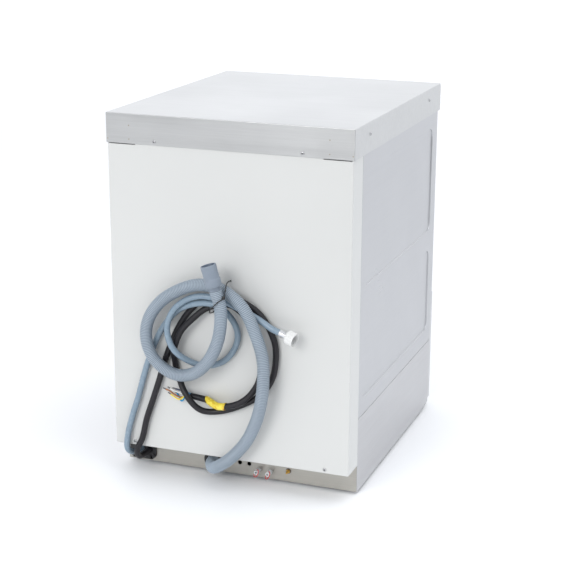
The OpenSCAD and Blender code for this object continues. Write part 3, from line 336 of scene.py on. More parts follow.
def clouded(tree, colour, size, tone, rough, change):
    """The clouds group, placed in a material with its own values."""
    return put(tree, "ShaderNodeGroup", {
        "Color": (*colour, 1), "Size": size, "Tone": tone, "Roughness": rough,
        "Gloss Change": change}, node_tree=clouds)


def raised(tree, height, distance, under=None, invert=False):
    """The normal of a surface with this relief, on top of the relief under it."""
    bump = put(tree, "ShaderNodeBump", {"Height": height, "Distance": distance, "Strength": 1.0},
               invert=invert)
    if under:
        feed(bump, {"Normal": under})
    return bump.outputs["Normal"]


def grained(name, colour, rough, size=900.0, lift=0.00006, tone=0.04, cloud=6.0, coarse=0.3,
            shine=0.5):
    """Paint, plastic or rubber: a colour with clouds of tone and gloss, and a fine skin, whose
    grains have that size (to the metre) and lift (in metres)."""
    material, tree, shader = fresh_material(name)
    cloudy = clouded(tree, colour, cloud, tone, rough, 0.25 * rough)
    skin = put(tree, "ShaderNodeGroup", {"Size": size, "Coarse": coarse}, node_tree=grain)
    feed(shader, {"Base Color": cloudy.outputs["Color"], "Specular IOR Level": shine,
                  "Roughness": cloudy.outputs["Roughness"],
                  "Normal": raised(tree, skin.outputs["Height"], lift)})
    return material


drain_rubber = grained("drain_rubber", (0.31, 0.37, 0.435), 0.38, size=700, lift=0.00008,
                       tone=0.06, cloud=14)
tree = drain_rubber.node_tree
shader = tree.nodes["Principled BSDF"]
# The grooves between the ribs are darkened to about half: painted shade in the hollows of the
# corrugation
in_groove = put(tree, "ShaderNodeAttribute", attribute_name="groove").outputs["Fac"]
unshaded_colour = shader.inputs["Base Color"].links[0].from_socket
groove_shade = ramp(tree, in_groove, 0.2, 1.0, 1.0, 0.45)
feed(shader, {"Base Color": scaled(tree, unshaded_colour, groove_shade)})
drain_line = smooth_line(placed(DRAIN_LINE), RIB_PITCH / len(RIB))
ribs = [RIB[i % len(RIB)] for i in range(len(drain_line))]
points, faces = tube_mesh(drain_line, [DRAIN_D / 2 - RIB_DEPTH * (1 - rib) for rib in ribs],
                          CORD_SIDES)
drain = new_piece("drain_hose_corrugated", points, faces, [drain_rubber],
                  ["drain_hose"])
groove = drain.data.attributes.new("groove", "FLOAT", "POINT")
groove.data.foreach_set("value", [1 - rib for rib in ribs for _ in range(CORD_SIDES)])

# ---- Inlet hose ----------------------------------------------------------------------
# A smooth pressure hose of grey-blue rubber, which runs up beside the cable and makes two
# turns. Its crimped ferrule and union nut point away to the machine's right.

INLET_D = 0.014
CORD_STEP = 0.004
INLET_LINE = [
    (247, -66, 38), (247, -56, 38), (249, -40, 39), (251, -14, 46), (250, 8, 66), (246, 9, 100),
    (234, 9, 145), (219, 9, 190), (206, 9, 235), (192, 9, 280), (176, 9, 322), (157, 11, 360),
    (133, 14, 393), (102, 21, 421), (56, 24, 438), (16, 25, 437), (-14, 23, 415), (-27, 11, 377),
    (-20, 9, 340), (8, 9, 305), (50, 10, 290), (86, 20, 300), (113, 39, 328), (128, 39, 362),
    (127, 35, 395), (105, 33, 430), (64, 27, 453), (15, 25, 453), (-34, 25, 437), (-76, 24, 419),
    (-112, 26, 400), (-133, 30, 394)]
inlet_rubber = grained("inlet_rubber", (0.208, 0.28, 0.348), 0.28, size=1200, lift=0.00003,
                       cloud=20)
inlet_line = smooth_line(placed(INLET_LINE), CORD_STEP)
points, faces = tube_mesh(inlet_line, [INLET_D / 2] * len(inlet_line), CORD_SIDES)
inlet = new_piece("inlet_hose_smooth", points, faces, [inlet_rubber],
                  ["inlet_hose"])

# ---- Supply cable --------------------------------------------------------------------
# A round cable with a charcoal rubber sheath. It rises with the inlet hose, makes nearly
# two turns low on the bundle and ends in five bare wires.

CABLE_D = 0.014
CABLE_LINE = [
    (226, -66, 36), (226, -56, 36), (228, -38, 34), (229, -10, 40), (225, 8, 62), (210, 9, 95),
    (199, 9, 140), (182, 9, 190), (165, 9, 240), (150, 9, 288), (134, 9, 330), (113, 9, 375),
    (88, 9, 412), (52, 9, 444), (5, 9, 458), (-40, 9, 446), (-81, 9, 420), (-110, 9, 372),
    (-116, 9, 330), (-107, 9, 278), (-78, 9, 236), (-32, 9, 206), (18, 9, 186), (60, 20, 188),
    (91, 25, 220), (116, 10, 256), (124, 10, 290), (120, 23, 324), (105, 24, 364), (82, 24, 392),
    (44, 14, 425), (-4, 9, 437), (-44, 9, 414), (-70, 11, 365), (-82, 13, 315), (-76, 16, 265),
    (-42, 24, 222), (10, 25, 204), (50, 11, 210), (88, 8, 213)]
cable_rubber = grained("cable_rubber", (0.013, 0.012, 0.015), 0.42, size=1500, lift=0.00004,
                       tone=0.18, cloud=25, shine=0.35)
cable_line = smooth_line(placed(CABLE_LINE), CORD_STEP)
points, faces = tube_mesh(cable_line, [CABLE_D / 2] * len(cable_line), CORD_SIDES)
cable = new_piece("power_cable_sheath", points, faces, [cable_rubber],
                  ["power_cable"])

# ---- Drain cuff ----------------------------------------------------------------------
# The moulded end of the drain hose: a smooth open tube with a thicker collar, welded on
# over the last ribs. A clip closes it over the waste pipe.

# Millimetres, as in each turned profile
CUFF_R, CUFF_BORE, CUFF_FLOOR, CUFF_L = 17.4, 15.0, 12.0, 57.0
COLLAR_FROM, COLLAR_TO = 9.0, 26.0
SMOOTH_ANGLE = 35


def turned(name, profile, spot, axis, steps=48, solid=True):
    """A turned piece: a circle drawn out along the axis, ring by ring. The profile lists
    radius and height in millimetres. A solid starts from a filled circle."""
    take()
    axis = Vector(axis).normalized()
    profile = [(r / 1000, h / 1000) for r, h in profile]
    r0, h0 = profile[0]
    bpy.ops.mesh.primitive_circle_add(
        vertices=steps, radius=r0, location=spot + axis * h0,
        rotation=axis.to_track_quat("Z", "Y").to_euler(),
        fill_type="NGON" if solid else "NOTHING")
    piece = bpy.context.object
    piece.name = piece.data.name = name
    bpy.ops.object.mode_set(mode="EDIT")
    for (r_from, h_from), (r, h) in zip(profile, profile[1:]):
        bpy.ops.mesh.extrude_region_move(TRANSFORM_OT_translate={"value": axis * (h - h_from)})
        bpy.ops.transform.resize(value=(r / r_from,) * 3, center_override=spot + axis * h)
    bpy.ops.mesh.select_all(action="SELECT")
    bpy.ops.mesh.remove_doubles(threshold=1e-6)
    bpy.ops.mesh.normals_make_consistent(inside=False)
    bpy.ops.object.mode_set(mode="OBJECT")
    bpy.ops.object.transform_apply(location=True, rotation=True, scale=True)
    bpy.ops.object.shade_smooth_by_angle(angle=math.radians(SMOOTH_ANGLE))
    return piece


def end_of(line):
    """Where a line of placed points ends, and the direction in which it ends."""
    before, end = placed(line[-2:])
    return end, (end - before).normalized()


drain_end, cuff_axis = end_of(DRAIN_LINE)
cuff_rubber = grained("cuff_rubber", (0.20, 0.237, 0.287), 0.42, size=500, lift=0.0001, tone=0.06,
                      cloud=30)
# The same rubber, darker: painted shade for inside the bore
bore_shade_rubber = grained("cuff_bore_shade_rubber", (0.085, 0.115, 0.165), 0.5, size=500, lift=0.0001,
                      tone=0.06, cloud=30)
last_ribs = [(14.0 - (1.3 if k % 2 else 0), 1.8 * k) for k in range(5)]
cuff = turned("drain_cuff_moulded", last_ribs + [
    (14.2, COLLAR_FROM), (CUFF_R - 0.1, COLLAR_FROM), (CUFF_R + 0.5, COLLAR_FROM + 0.6),
    (CUFF_R + 0.6, COLLAR_FROM + 2.5), (CUFF_R + 0.6, COLLAR_TO - 1), (CUFF_R + 0.3, COLLAR_TO),
    (CUFF_R - 0.4, COLLAR_TO + 0.8), (CUFF_R - 0.5, COLLAR_TO + 2.5), (CUFF_R - 0.1, CUFF_L - 4),
    (CUFF_R, CUFF_L - 0.8), (CUFF_R - 0.4, CUFF_L), (CUFF_BORE + 0.4, CUFF_L),
    (CUFF_BORE, CUFF_L - 0.6), (CUFF_BORE, CUFF_FLOOR), (2, CUFF_FLOOR), (0.01, CUFF_FLOOR)],
    drain_end, cuff_axis)
finished(cuff, "casing", [cuff_rubber, bore_shade_rubber], ["drain_cuff"])
# The bore gets a darker copy of the cuff's rubber: painted shade inside the tube
for face in cuff.data.polygons:
    height = (face.center - drain_end).dot(cuff_axis)
    off_axis = (face.center - drain_end - height * cuff_axis).length
    if height > (CUFF_FLOOR - 0.5) / 1000 and off_axis < (CUFF_BORE + 0.05) / 1000:
        face.material_index = 1

# ---- Ferrule and union nut -----------------------------------------------------------
# A bright sleeve crimped on the inlet hose in three rings, and the fluted white plastic
# nut that turns on its flanged tail and screws to the stop valve.

# Millimetres
FERRULE_R, FERRULE_L = 7.6, 17.7
CRIMP_DEPTH, CRIMP_PITCH = 0.5, 4.8
TAIL_R, FLANGE_R, FLANGE_FROM, FLANGE_TO = 5.6, 11.8, 24.7, 26.7
NUT_BORE, NUT_MOUTH = 13.25, 38.4
THREAD_DEPTH, THREAD_L, HALF_PITCH, TURNS = 0.75, 10.5, 0.75, 6
SEAL_IN, SEAL_OUT, SEAL_FROM, SEAL_TO = 7.2, 12.9, 27.2, 29.1
# Folds sharper than FOLD_ANGLE degrees are rounded, apart from edges that are too short
FOLD_ANGLE, SHORT_EDGE, THIN_FACE = 40, 0.0009, 0.0013
BRUSH_DEPTH = 0.00002

# Brushing: fine straight scratches along a sheet, stretched by the scale of each direction
brushing, into, out = group("brushing", [("Stretch", "Vector", (3, 300, 300))],
                            [("Streak", "Float")])
where = own_place(brushing)
drawn = put(brushing, "ShaderNodeMapping", {"Vector": where,
                                            "Scale": into.outputs["Stretch"]}).outputs[0]
fine = noise(brushing, drawn, 4.0, 3.0, 0.6)
wide = noise(brushing, drawn, 0.35)
feed(out, {"Streak": blend(brushing, "FLOAT", 0.4, fine, wide)})

# Handling: broad soft waves of a thin sheet, and a few short hairline scratches
handling, into, out = group("handling", [("Wave Size", "Float", 7.0), ("Scratches", "Float", 0.5)],
                            [("Wave", "Float"), ("Scratch", "Float")])
where = own_place(handling)
bent = put(handling, "ShaderNodeMapping", {"Vector": where, "Rotation": (0.5, 0.4, 0.7),
                                           "Scale": (6, 240, 240)}).outputs[0]
hair = ramp(handling, noise(handling, bent, 1.0, 1.0), 0.72, 0.76)
feed(out, {"Wave": noise(handling, where, into.outputs["Wave Size"], 0.0),
           "Scratch": worked(handling, "MULTIPLY", hair, into.outputs["Scratches"])})


def steel(name, colour, rough, stretch, tone=0.03, cloud=2.5, streaks=0.07, wave=0.0,
          wave_size=5.0):
    """Sheet steel: brushed along the direction of the least stretch, with clouds of tone and
    gloss, soft waves and hairlines."""
    material, tree, shader = fresh_material(name)
    cloudy = clouded(tree, colour, cloud, tone, rough, 0.2 * rough)
    streak = put(tree, "ShaderNodeGroup", {"Stretch": stretch}, node_tree=brushing).outputs[0]
    handled = put(tree, "ShaderNodeGroup", {"Wave Size": wave_size, "Scratches": 0.4},
                  node_tree=handling)
    streaked = ramp(tree, streak, 0.3, 0.7, 1 - streaks, 1 + streaks)
    rougher = worked(tree, "MULTIPLY_ADD", streak, 0.12, cloudy.outputs["Roughness"])
    marked = worked(tree, "MULTIPLY_ADD", handled.outputs["Scratch"], 0.1, rougher)
    swell = raised(tree, handled.outputs["Wave"], wave)
    feed(shader, {"Base Color": scaled(tree, cloudy.outputs["Color"], streaked),
                  "Metallic": 1.0, "Roughness": marked,
                  "Normal": raised(tree, streak, BRUSH_DEPTH, swell)})
    return material


inlet_end, nut_axis = end_of(INLET_LINE)
ferrule_metal = steel("ferrule_metal", (0.78, 0.79, 0.81), 0.28, (900, 900, 60))
crimps = [(FERRULE_R - CRIMP_DEPTH * deep, CRIMP_PITCH * k + h) for k in range(3)
          for deep, h in ((0, 3.2), (1, 3.8), (1, 5.6), (0, 6.2))]
ferrule = turned("inlet_ferrule_crimped", [
    (FERRULE_R - CRIMP_DEPTH, 0), (FERRULE_R, 0.5)] + crimps + [
    (FERRULE_R, FERRULE_L - 0.4), (FERRULE_R - 0.4, FERRULE_L), (TAIL_R, FERRULE_L),
    (TAIL_R, FLANGE_FROM), (FLANGE_R - 0.3, FLANGE_FROM), (FLANGE_R, FLANGE_FROM + 0.3),
    (FLANGE_R, FLANGE_TO - 0.3), (FLANGE_R - 0.3, FLANGE_TO), (7.5, FLANGE_TO),
    (7, FLANGE_TO - 0.6), (3, FLANGE_TO - 0.6), (2.5, 24), (0.01, 24)], inlet_end, nut_axis)
finished(ferrule, "casing", [ferrule_metal], ["inlet_ferrule"])


def softened(node, name, material, fold, rim, body="casing", hollows=False):
    """A copy of a CAD node with its loose triangles joined, its folds rounded to `fold`
    millimetres and its thin rims eased to that times `rim`. Inner folds can be rounded too."""
    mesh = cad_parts[node].data.copy()
    mesh.name = name
    mesh.materials.clear()
    piece = bpy.data.objects.new(name, mesh)
    scene.collection.objects.link(piece)
    take(piece)
    bpy.ops.object.mode_set(mode="EDIT")
    bpy.ops.mesh.select_all(action="SELECT")
    bpy.ops.mesh.remove_doubles(threshold=1e-5)
    bpy.ops.mesh.dissolve_limited(angle_limit=math.radians(0.5))
    shape = bmesh.from_edit_mesh(mesh)
    weight = (shape.edges.layers.float.get("bevel_weight_edge")
              or shape.edges.layers.float.new("bevel_weight_edge"))
    for edge in shape.edges:
        if len(edge.link_faces) != 2 or edge.calc_length() < SHORT_EDGE:
            continue
        if not edge.is_convex and not hollows:
            continue
        if edge.calc_face_angle() > math.radians(FOLD_ANGLE):
            width = min(2 * face.calc_area() / face.calc_perimeter() for face in edge.link_faces)
            edge[weight] = rim if width < THIN_FACE else 1.0
    # A big face is cut up, or the bevel could draw it across an opening
    bmesh.ops.triangulate(shape, faces=[face for face in shape.faces if len(face.verts) > 4])
    bmesh.update_edit_mesh(mesh)
    bpy.ops.object.mode_set(mode="OBJECT")
    ease = piece.modifiers.new("ease", "BEVEL")
    ease.limit_method = "WEIGHT"
    ease.width = fold / 1000
    ease.segments = 3
    ease.use_clamp_overlap = False
    bpy.ops.object.modifier_apply(modifier=ease.name)
    bpy.ops.object.shade_smooth_by_angle(angle=math.radians(SMOOTH_ANGLE))
    level_out = piece.modifiers.new("level", "WEIGHTED_NORMAL")
    level_out.keep_sharp = True
    level_out.weight = 100
    bpy.ops.object.modifier_apply(modifier=level_out.name)
    return finished(piece, body, [material], [node])


nut_plastic = grained("nut_plastic", (0.71, 0.715, 0.705), 0.35, size=600, tone=0.02,
                      cloud=60)
nut = softened("inlet_nut", "union_nut", nut_plastic, 0.5, 0.5, "inlet_nut")
ridges = [(NUT_BORE - (THREAD_DEPTH if k % 2 else 0), NUT_MOUTH - (k + 1) * HALF_PITCH)
          for k in range(2 * TURNS)]
thread = turned("nut_thread", [
    (NUT_BORE + 0.02, NUT_MOUTH - THREAD_L), (NUT_BORE + 0.02, NUT_MOUTH - 0.6)] + ridges,
    inlet_end, nut_axis, solid=False)
finished(thread, "inlet_nut", [nut_plastic])
seal_black = grained("seal_black", (0.05, 0.05, 0.048), 0.5, size=600, tone=0.1)
seal = turned("nut_seal", [
    (SEAL_IN, SEAL_FROM), (SEAL_OUT, SEAL_FROM), (SEAL_OUT, SEAL_TO - 0.3),
    (SEAL_OUT - 0.3, SEAL_TO), (SEAL_IN + 0.3, SEAL_TO), (SEAL_IN, SEAL_TO - 0.3),
    (SEAL_IN, SEAL_FROM)], inlet_end, nut_axis, solid=False)
finished(seal, "inlet_nut", [seal_black])

# ---- Bare wires ----------------------------------------------------------------------
# The cable's five cores, stripped free of the sheath: brown, green and yellow, blue, grey
# and white, each crimped in a dark end sleeve.

WIRE_D, WIRE_SIDES, WIRE_STEP = 0.0035, 10, 0.0012
WIRE_RING, WIRE_GAP, WIRE_STRAIGHT = 0.0042, 0.0003, 0.008
SLEEVE_RINGS = 7
WIRE_LINES = [
    [(114, 9, 207), (126, 8, 210), (140, 7, 217), (150, 6, 220), (157, 6, 222)],
    [(114, 13, 203), (124, 13, 206), (134, 12, 211), (142, 11, 215)],
    [(106, 13, 201), (113, 9, 200), (119, 4, 207), (125, 4, 214), (130, 4, 217)],
    [(110, 4, 220), (122, 5, 223), (134, 5, 225)],
    [(112, 11, 218), (126, 12, 221), (138, 10, 225), (144, 9, 227)]]
WIRE_COLOURS = [("brown", (0.36, 0.13, 0.03)), ("yellow", (0.80, 0.62, 0.05)),
                ("blue", (0.01, 0.25, 0.52)), ("grey", (0.06, 0.07, 0.12)),
                ("white", (0.72, 0.72, 0.70))]
core_skins = [grained("core_" + name, colour, 0.35, size=1500, lift=0.00002, tone=0.1,
                      cloud=90) for name, colour in WIRE_COLOURS]
core_skins.append(grained("core_tip", (0.09, 0.09, 0.10), 0.4, size=1200, lift=0.00003))
sleeve_skin = len(WIRE_COLOURS)
cable_end, cable_axis = end_of(CABLE_LINE)
over = (Vector((0, 0, 1)) - cable_axis.z * cable_axis).normalized()
points, faces, skins = [], [], []
for i, route in enumerate(WIRE_LINES):
    a = math.tau * (i - 2) / len(WIRE_LINES)
    leave = cable_end + WIRE_GAP * cable_axis + WIRE_RING * (
        math.cos(a) * over + math.sin(a) * cable_axis.cross(over))
    line = smooth_line([leave, leave + WIRE_STRAIGHT * cable_axis] + placed(route), WIRE_STEP)
    sleeve = len(line) - SLEEVE_RINGS
    radii = [WIRE_D / 2 * (1.0 if k <= sleeve else 0.8) for k in range(len(line))]
    got, made = tube_mesh(line, radii, WIRE_SIDES, start=len(points))
    points += got
    faces += made
    skins += [i if k < WIRE_SIDES * sleeve else sleeve_skin for k in range(len(made) - 2)]
    skins += [i, sleeve_skin]
wires = new_piece("cable_cores", points, faces, core_skins, ["cable_wires"])
wires.data.polygons.foreach_set("material_index", skins)

# ---- Cable label ---------------------------------------------------------------------
# A strip of yellow film folded round the cable near its end, creased, with its ends left
# long and slanted. It is blank, with painted shade in its creases; one lower corner is a
# dark orange-brown.

LABEL_BEHIND, LABEL_AHEAD = 0.016, 0.036
LABEL_OUTER, LABEL_INNER = 0.00815, 0.0077
LABEL_STEP, LABEL_SIDES = 0.0012, 40
CREASE, END_SLANT, START_SLANT = 0.0005, 0.007, 0.002
DARK_CORNER = Vector((0, 0.006, -0.006))
label_spot = placed(CABLE_LINE)[-3]
near = min(range(len(cable_line)), key=lambda i: (cable_line[i] - label_spot).length)
label_line = smooth_line(
    cable_line[near - round(LABEL_BEHIND / CORD_STEP):near + round(LABEL_AHEAD / CORD_STEP) + 1],
    LABEL_STEP)
label_frames = ring_frames(label_line, (0, 0, 1))
rings = len(label_line)
points, faces = [], []
for wall in (LABEL_OUTER, LABEL_INNER):
    for i, (p, (ahead, side, other)) in enumerate(zip(label_line, label_frames)):
        share = i / (rings - 1)
        for k in range(LABEL_SIDES):
            a = math.tau * k / LABEL_SIDES
            crease = CREASE * math.sin(4 * a + 9 * share) * math.sin(3 * a - 17 * share)
            slant = (END_SLANT * share ** 3 * math.cos(a - 0.2)
                     - START_SLANT * (1 - share) * math.cos(a - 0.4))
            r = wall + crease
            points.append(p + slant * ahead + r * (math.cos(a) * side + math.sin(a) * other))
ring_starts = [LABEL_SIDES * i for i in range(2 * rings)]
outer, inner = ring_starts[:rings], ring_starts[rings:]
bands = list(zip(outer, outer[1:])) + list(zip(inner[1:], inner)) + [
    (inner[0], outer[0]), (outer[-1], inner[-1])]
for b, c in bands:
    for k in range(LABEL_SIDES):
        n = (k + 1) % LABEL_SIDES
        faces.append((b + k, b + n, c + n, c + k))
label_film, tree, shader = fresh_material("label_film")
where = own_place(tree)
# One lower corner is blended to a dark orange-brown
from_dark_corner = put(tree, "ShaderNodeVectorMath", {0: where, 1: tuple(label_line[1] + DARK_CORNER)},
                operation="DISTANCE")
dark_corner = ramp(tree, from_dark_corner.outputs["Value"], 0.002, 0.005, 1.0, 0.0)
# The yellow darkens to orange along the noise that raises the creases: painted shade in the folds
folds = noise(tree, where, 160.0, 3.0)
film = blend(tree, "RGBA", ramp(tree, folds, 0.35, 0.6), (0.64, 0.42, 0.01, 1),
             (0.78, 0.66, 0.08, 1))
feed(shader, {"Base Color": blend(tree, "RGBA", dark_corner, film, (0.42, 0.12, 0.01, 1)),
              "Roughness": ramp(tree, folds, 0.0, 1.0, 0.25, 0.5),
              "Normal": raised(tree, folds, 0.0012)})
new_piece("cable_label_film", points, faces, [label_film], ["cable_label"])

# ---- Cable tie -----------------------------------------------------------------------
# A thin black tie twisted from two strands. It holds the whole bundle, passes through two
# small holes in the back panel, and is drawn up in a knot on top of the drain hose.

TIE_R, TIE_SIDES, TIE_STEP = 0.00125, 8, 0.0012
TWIST, TWIST_DEPTH = 1.1, 0.16
KNOT_AT, KNOT_SIZE = 6, (0.005, 0.004, 0.006)
TIE_LINE = [
    (14, -5, 452), (-6, -5, 487), (-6, 3, 489), (-9, 22, 492), (-14, 41, 491), (-20, 60, 487),
    (-23, 79, 474), (-14, 90, 466), (-3, 90, 455), (7, 80, 448), (15, 60, 443), (23, 40, 436),
    (32, 24, 427), (36, 16, 416), (34, 3, 414), (34, -5, 414), (15, -5, 449)]
tie_nylon = grained("tie_nylon", (0.012, 0.012, 0.013), 0.4, size=1500, lift=0.00003)
tie_line = smooth_line(placed(TIE_LINE), TIE_STEP)
points, faces = tube_mesh(tie_line, [TIE_R] * len(tie_line), TIE_SIDES)
for k, corner in enumerate(points):
    ring, step = divmod(k, TIE_SIDES)
    pull = 1 + TWIST_DEPTH * math.cos(2 * math.tau * step / TIE_SIDES - TWIST * ring)
    points[k] = tie_line[ring] + pull * (corner - tie_line[ring])
new_piece("bundle_tie", points, faces, [tie_nylon], ["cable_tie"])
take()
bpy.ops.mesh.primitive_cube_add(size=1, location=placed(TIE_LINE)[KNOT_AT],
                                scale=KNOT_SIZE)
knot = bpy.context.object
knot.name = knot.data.name = "tie_knot"
bpy.ops.object.mode_set(mode="EDIT")
bpy.ops.mesh.subdivide(number_cuts=2, smoothness=0.6)
bpy.ops.mesh.bevel(offset=0.0002, segments=1)
bpy.ops.object.mode_set(mode="OBJECT")
bpy.ops.object.transform_apply(location=True, rotation=True, scale=True)
bpy.ops.object.shade_smooth()
finished(knot, "casing", [tie_nylon])

# ---- Top cover -----------------------------------------------------------------------
# A pressed lid of brushed stainless steel with aprons on four sides. Pan-head screws hold
# it to the back and side panels, and small weld marks show on its rear apron.

# Weld marks: millimetres across, and down from the top
MARKS = [(-230, 26), (-230, 56), (230, 26), (230, 56), (-281, 57), (281, 57)]
cover_steel = steel("cover_steel", (0.55, 0.555, 0.555), 0.30, (3, 300, 300), tone=0.015,
                    wave=0.0006)
softened("top_cover", "top_cover_pressed", cover_steel, 1.3, 0.3)
weld_metal = steel("weld_metal", (0.42, 0.38, 0.32), 0.5, (400, 400, 400))
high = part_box("top_cover")[1]
marks = []
for across, down in MARKS:
    spot = Vector((across / 1000, high.y - 0.00005, high.z - down / 1000))
    marks.append(turned("weld_mark", [(1.5, 0), (1.5, 0.1), (1.1, 0.25), (0.5, 0.2), (0.01, 0.2)],
                        spot, (0, 1, 0), 16))


def joined(pieces, name):
    """Several pieces made one."""
    take(*pieces)
    bpy.ops.object.join()
    pieces[0].name = pieces[0].data.name = name
    return pieces[0]


finished(joined(marks, "cover_weld_marks"), "casing", [weld_metal])

# ---- Casing screws -------------------------------------------------------------------
# Pan-head screws of bright steel with a cross recess: two through the rear apron, two at
# the back panel's foot and two through each side apron.

# Millimetres
HEAD_H = 2.0
# Metres
CROSS_LONG, CROSS_WIDE, CROSS_DEEP, CROSS_MIDDLE = 0.0046, 0.0011, 0.0022, 0.0019
CROSS_FLOOR, CROSS_TOP, CROSS_R = 0.0007, 0.00185, 0.0024
SCREW_TURN = 2.1


def solids(node):
    """The boxes of a CAD node's separate solids."""
    shape = bmesh.new()
    shape.from_mesh(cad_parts[node].data)
    bmesh.ops.remove_doubles(shape, verts=shape.verts, dist=1e-6)
    left, boxes = set(shape.verts), []
    while left:
        heap, part = [left.pop()], []
        while heap:
            corner = heap.pop()
            part.append(corner.co.copy())
            for edge in corner.link_edges:
                other = edge.other_vert(corner)
                if other in left:
                    left.remove(other)
                    heap.append(other)
        boxes.append((Vector(map(min, *part)), Vector(map(max, *part))))
    shape.free()
    return sorted(boxes, key=lambda box: tuple(round(c, 4) for c in box[0]))


screw_steel = steel("screw_steel", (0.50, 0.50, 0.51), 0.22, (500, 500, 500))
# The cross recess gets a near-black steel: painted shade in the recess
screw_recess_shade = steel("screw_recess_shade", (0.10, 0.10, 0.10), 0.5, (500, 500, 500))
screw = turned("pan_head", [(1.9, -9), (2.0, -8.5), (2.0, 0), (4.0, 0), (4.2, 0.3), (4.1, 0.9),
                            (3.6, 1.5), (2.6, 1.9), (1.2, HEAD_H), (0.01, HEAD_H)],
               Vector((0, 0, 0)), (0, 0, 1), 32)
for long_x, long_y in ((CROSS_LONG, CROSS_WIDE), (CROSS_WIDE, CROSS_LONG)):
    take()
    bpy.ops.mesh.primitive_cube_add(size=1, location=(0, 0, CROSS_MIDDLE),
                                    scale=(long_x, long_y, CROSS_DEEP))
    bpy.ops.object.transform_apply(location=True, rotation=True, scale=True)
    cutter = bpy.context.object
    take(screw)
    recess = screw.modifiers.new("recess", "BOOLEAN")
    recess.object = cutter
    recess.solver = "EXACT"
    bpy.ops.object.modifier_apply(modifier=recess.name)
    bpy.data.objects.remove(cutter)
screw.data.materials.append(screw_steel)
screw.data.materials.append(screw_recess_shade)
for face in screw.data.polygons:
    if CROSS_FLOOR < face.center.z < CROSS_TOP and face.center.xy.length < CROSS_R:
        face.material_index = 1
copies = []
for low, high in solids("casing_screws"):
    size = high - low
    axis = Vector((0, 1, 0))
    if size.x > size.z + 0.001:
        axis = Vector((math.copysign(1, low.x), 0, 0))
    head = (low + high) / 2 + axis * (max(size.x, size.y) / 2 - HEAD_H / 1000)
    driven = axis.to_track_quat("Z", "Y").to_matrix() @ Matrix.Rotation(
        0.5 + SCREW_TURN * len(copies), 3, "Z")
    mesh = screw.data.copy()
    mesh.transform(Matrix.Translation(head) @ driven.to_4x4())
    copy = bpy.data.objects.new("casing_screw", mesh)
    scene.collection.objects.link(copy)
    copies.append(copy)
bpy.data.objects.remove(screw)
finished(joined(copies, "casing_screws_pan_head"), "casing", [], ["casing_screws"])

# ---- Back panel ----------------------------------------------------------------------
# A deep pan of white painted steel sheet, slid up under the cover's rear apron and fixed
# with two screws at its foot.

rear_paint = grained("rear_paint", (0.59, 0.595, 0.583), 0.38, lift=0.00003, tone=0.008,
                     cloud=3, coarse=0.5)
softened("back_panel", "back_panel_pan", rear_paint, 2.2, 0.15)

# ---- Side panels ---------------------------------------------------------------------
# Brushed stainless sheets, each with two fields pressed inwards to stiffen it. They hang
# between the cover and the base and are folded in beside the door.

side_steel = steel("side_steel", (0.495, 0.5, 0.515), 0.27, (300, 3, 300), tone=0.025, cloud=5,
                   streaks=0.04, wave=0.003, wave_size=4.0)
for side in ("left", "right"):
    softened(side + "_side_panel", side + "_side_sheet", side_steel, 1.1, 0.3,
             hollows=True)

# ---- Base ----------------------------------------------------------------------------
# A shallow tray with folded side plates and a rear wall of duller stainless sheet, whose
# darker colour is painted shade under the back panel's overhang. The lower front panel
# clips on before it and lifts off for service.

base_steel = steel("base_steel", (0.525, 0.525, 0.535), 0.33, (300, 3, 300), tone=0.02,
                   wave=0.002)
for side in ("left", "right"):
    softened(side + "_base_panel", side + "_base_sheet", base_steel, 0.5, 0.7)
# The rear wall's steel is darker than the base's: painted shade under the back panel's overhang
rear_wall_steel = steel("rear_wall_steel", (0.455, 0.44, 0.405), 0.42, (3, 300, 300), tone=0.04,
                        cloud=8, wave=0.002)
softened("base_rear_wall", "base_rear_sheet", rear_wall_steel, 0.5, 0.7)


def dress(material, *nodes):
    """Gives CAD nodes that keep their own shape their finish."""
    for node in nodes:
        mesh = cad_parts[node].data
        mesh.materials.clear()
        mesh.materials.append(material)


tray_steel = steel("tray_steel", (0.48, 0.49, 0.50), 0.45, (120, 120, 120), tone=0.06, cloud=12,
                   wave=0.001)
dress(tray_steel, "base_tray")
front_steel = steel("front_steel", (0.56, 0.565, 0.575), 0.27, (3, 300, 300), tone=0.02,
                    wave=0.001)
softened("lower_front_panel", "lower_front_sheet", front_steel, 1.0, 0.35)
softened("front_frame", "front_frame_sheet", front_steel, 0.6, 0.5)
foot_plastic = grained("foot_plastic", (0.03, 0.03, 0.032), 0.55, size=500, lift=0.0001, tone=0.1)
dress(foot_plastic, "front_left_foot", "front_right_foot", "rear_left_foot", "rear_right_foot")

# ---- Rear fittings -------------------------------------------------------------------
# Black rubber plugs seal the hoses and the cable in the wall. White stubs for detergent
# and rinse aid carry spring clips and red closing rings; a brass stud takes the earth.

RING_SWING, RING_AXIS = -56, Vector((-0.6, 0, 0.8))
RING_R, RING_WIRE, RING_OUT = 0.0088, 0.00095, 0.005
CLIP_R, CLIP_WIRE, CLIP_OUT = 0.0056, 0.0006, 0.014
STUD_OUT = 0.008
# Millimetres
STUD_R, STUD_THREAD, STUD_HALF_PITCH = 2.2, 0.35, 0.5
grommet_rubber = grained("grommet_rubber", (0.018, 0.018, 0.019), 0.5, size=450, lift=0.0002,
                         tone=0.15, cloud=40)
softened("hose_grommets", "hose_grommets_moulded", grommet_rubber, 0.8, 0.5)
tube_plastic = grained("tube_plastic", (0.80, 0.82, 0.83), 0.3, lift=0.00003, cloud=60)
softened("dosing_tubes", "dosing_stubs", tube_plastic, 0.4, 0.6)
ring_red = grained("ring_red", (0.62, 0.025, 0.035), 0.3, lift=0.00002, tone=0.08)
clip_steel = steel("clip_steel", (0.55, 0.56, 0.57), 0.3, (400, 400, 400))


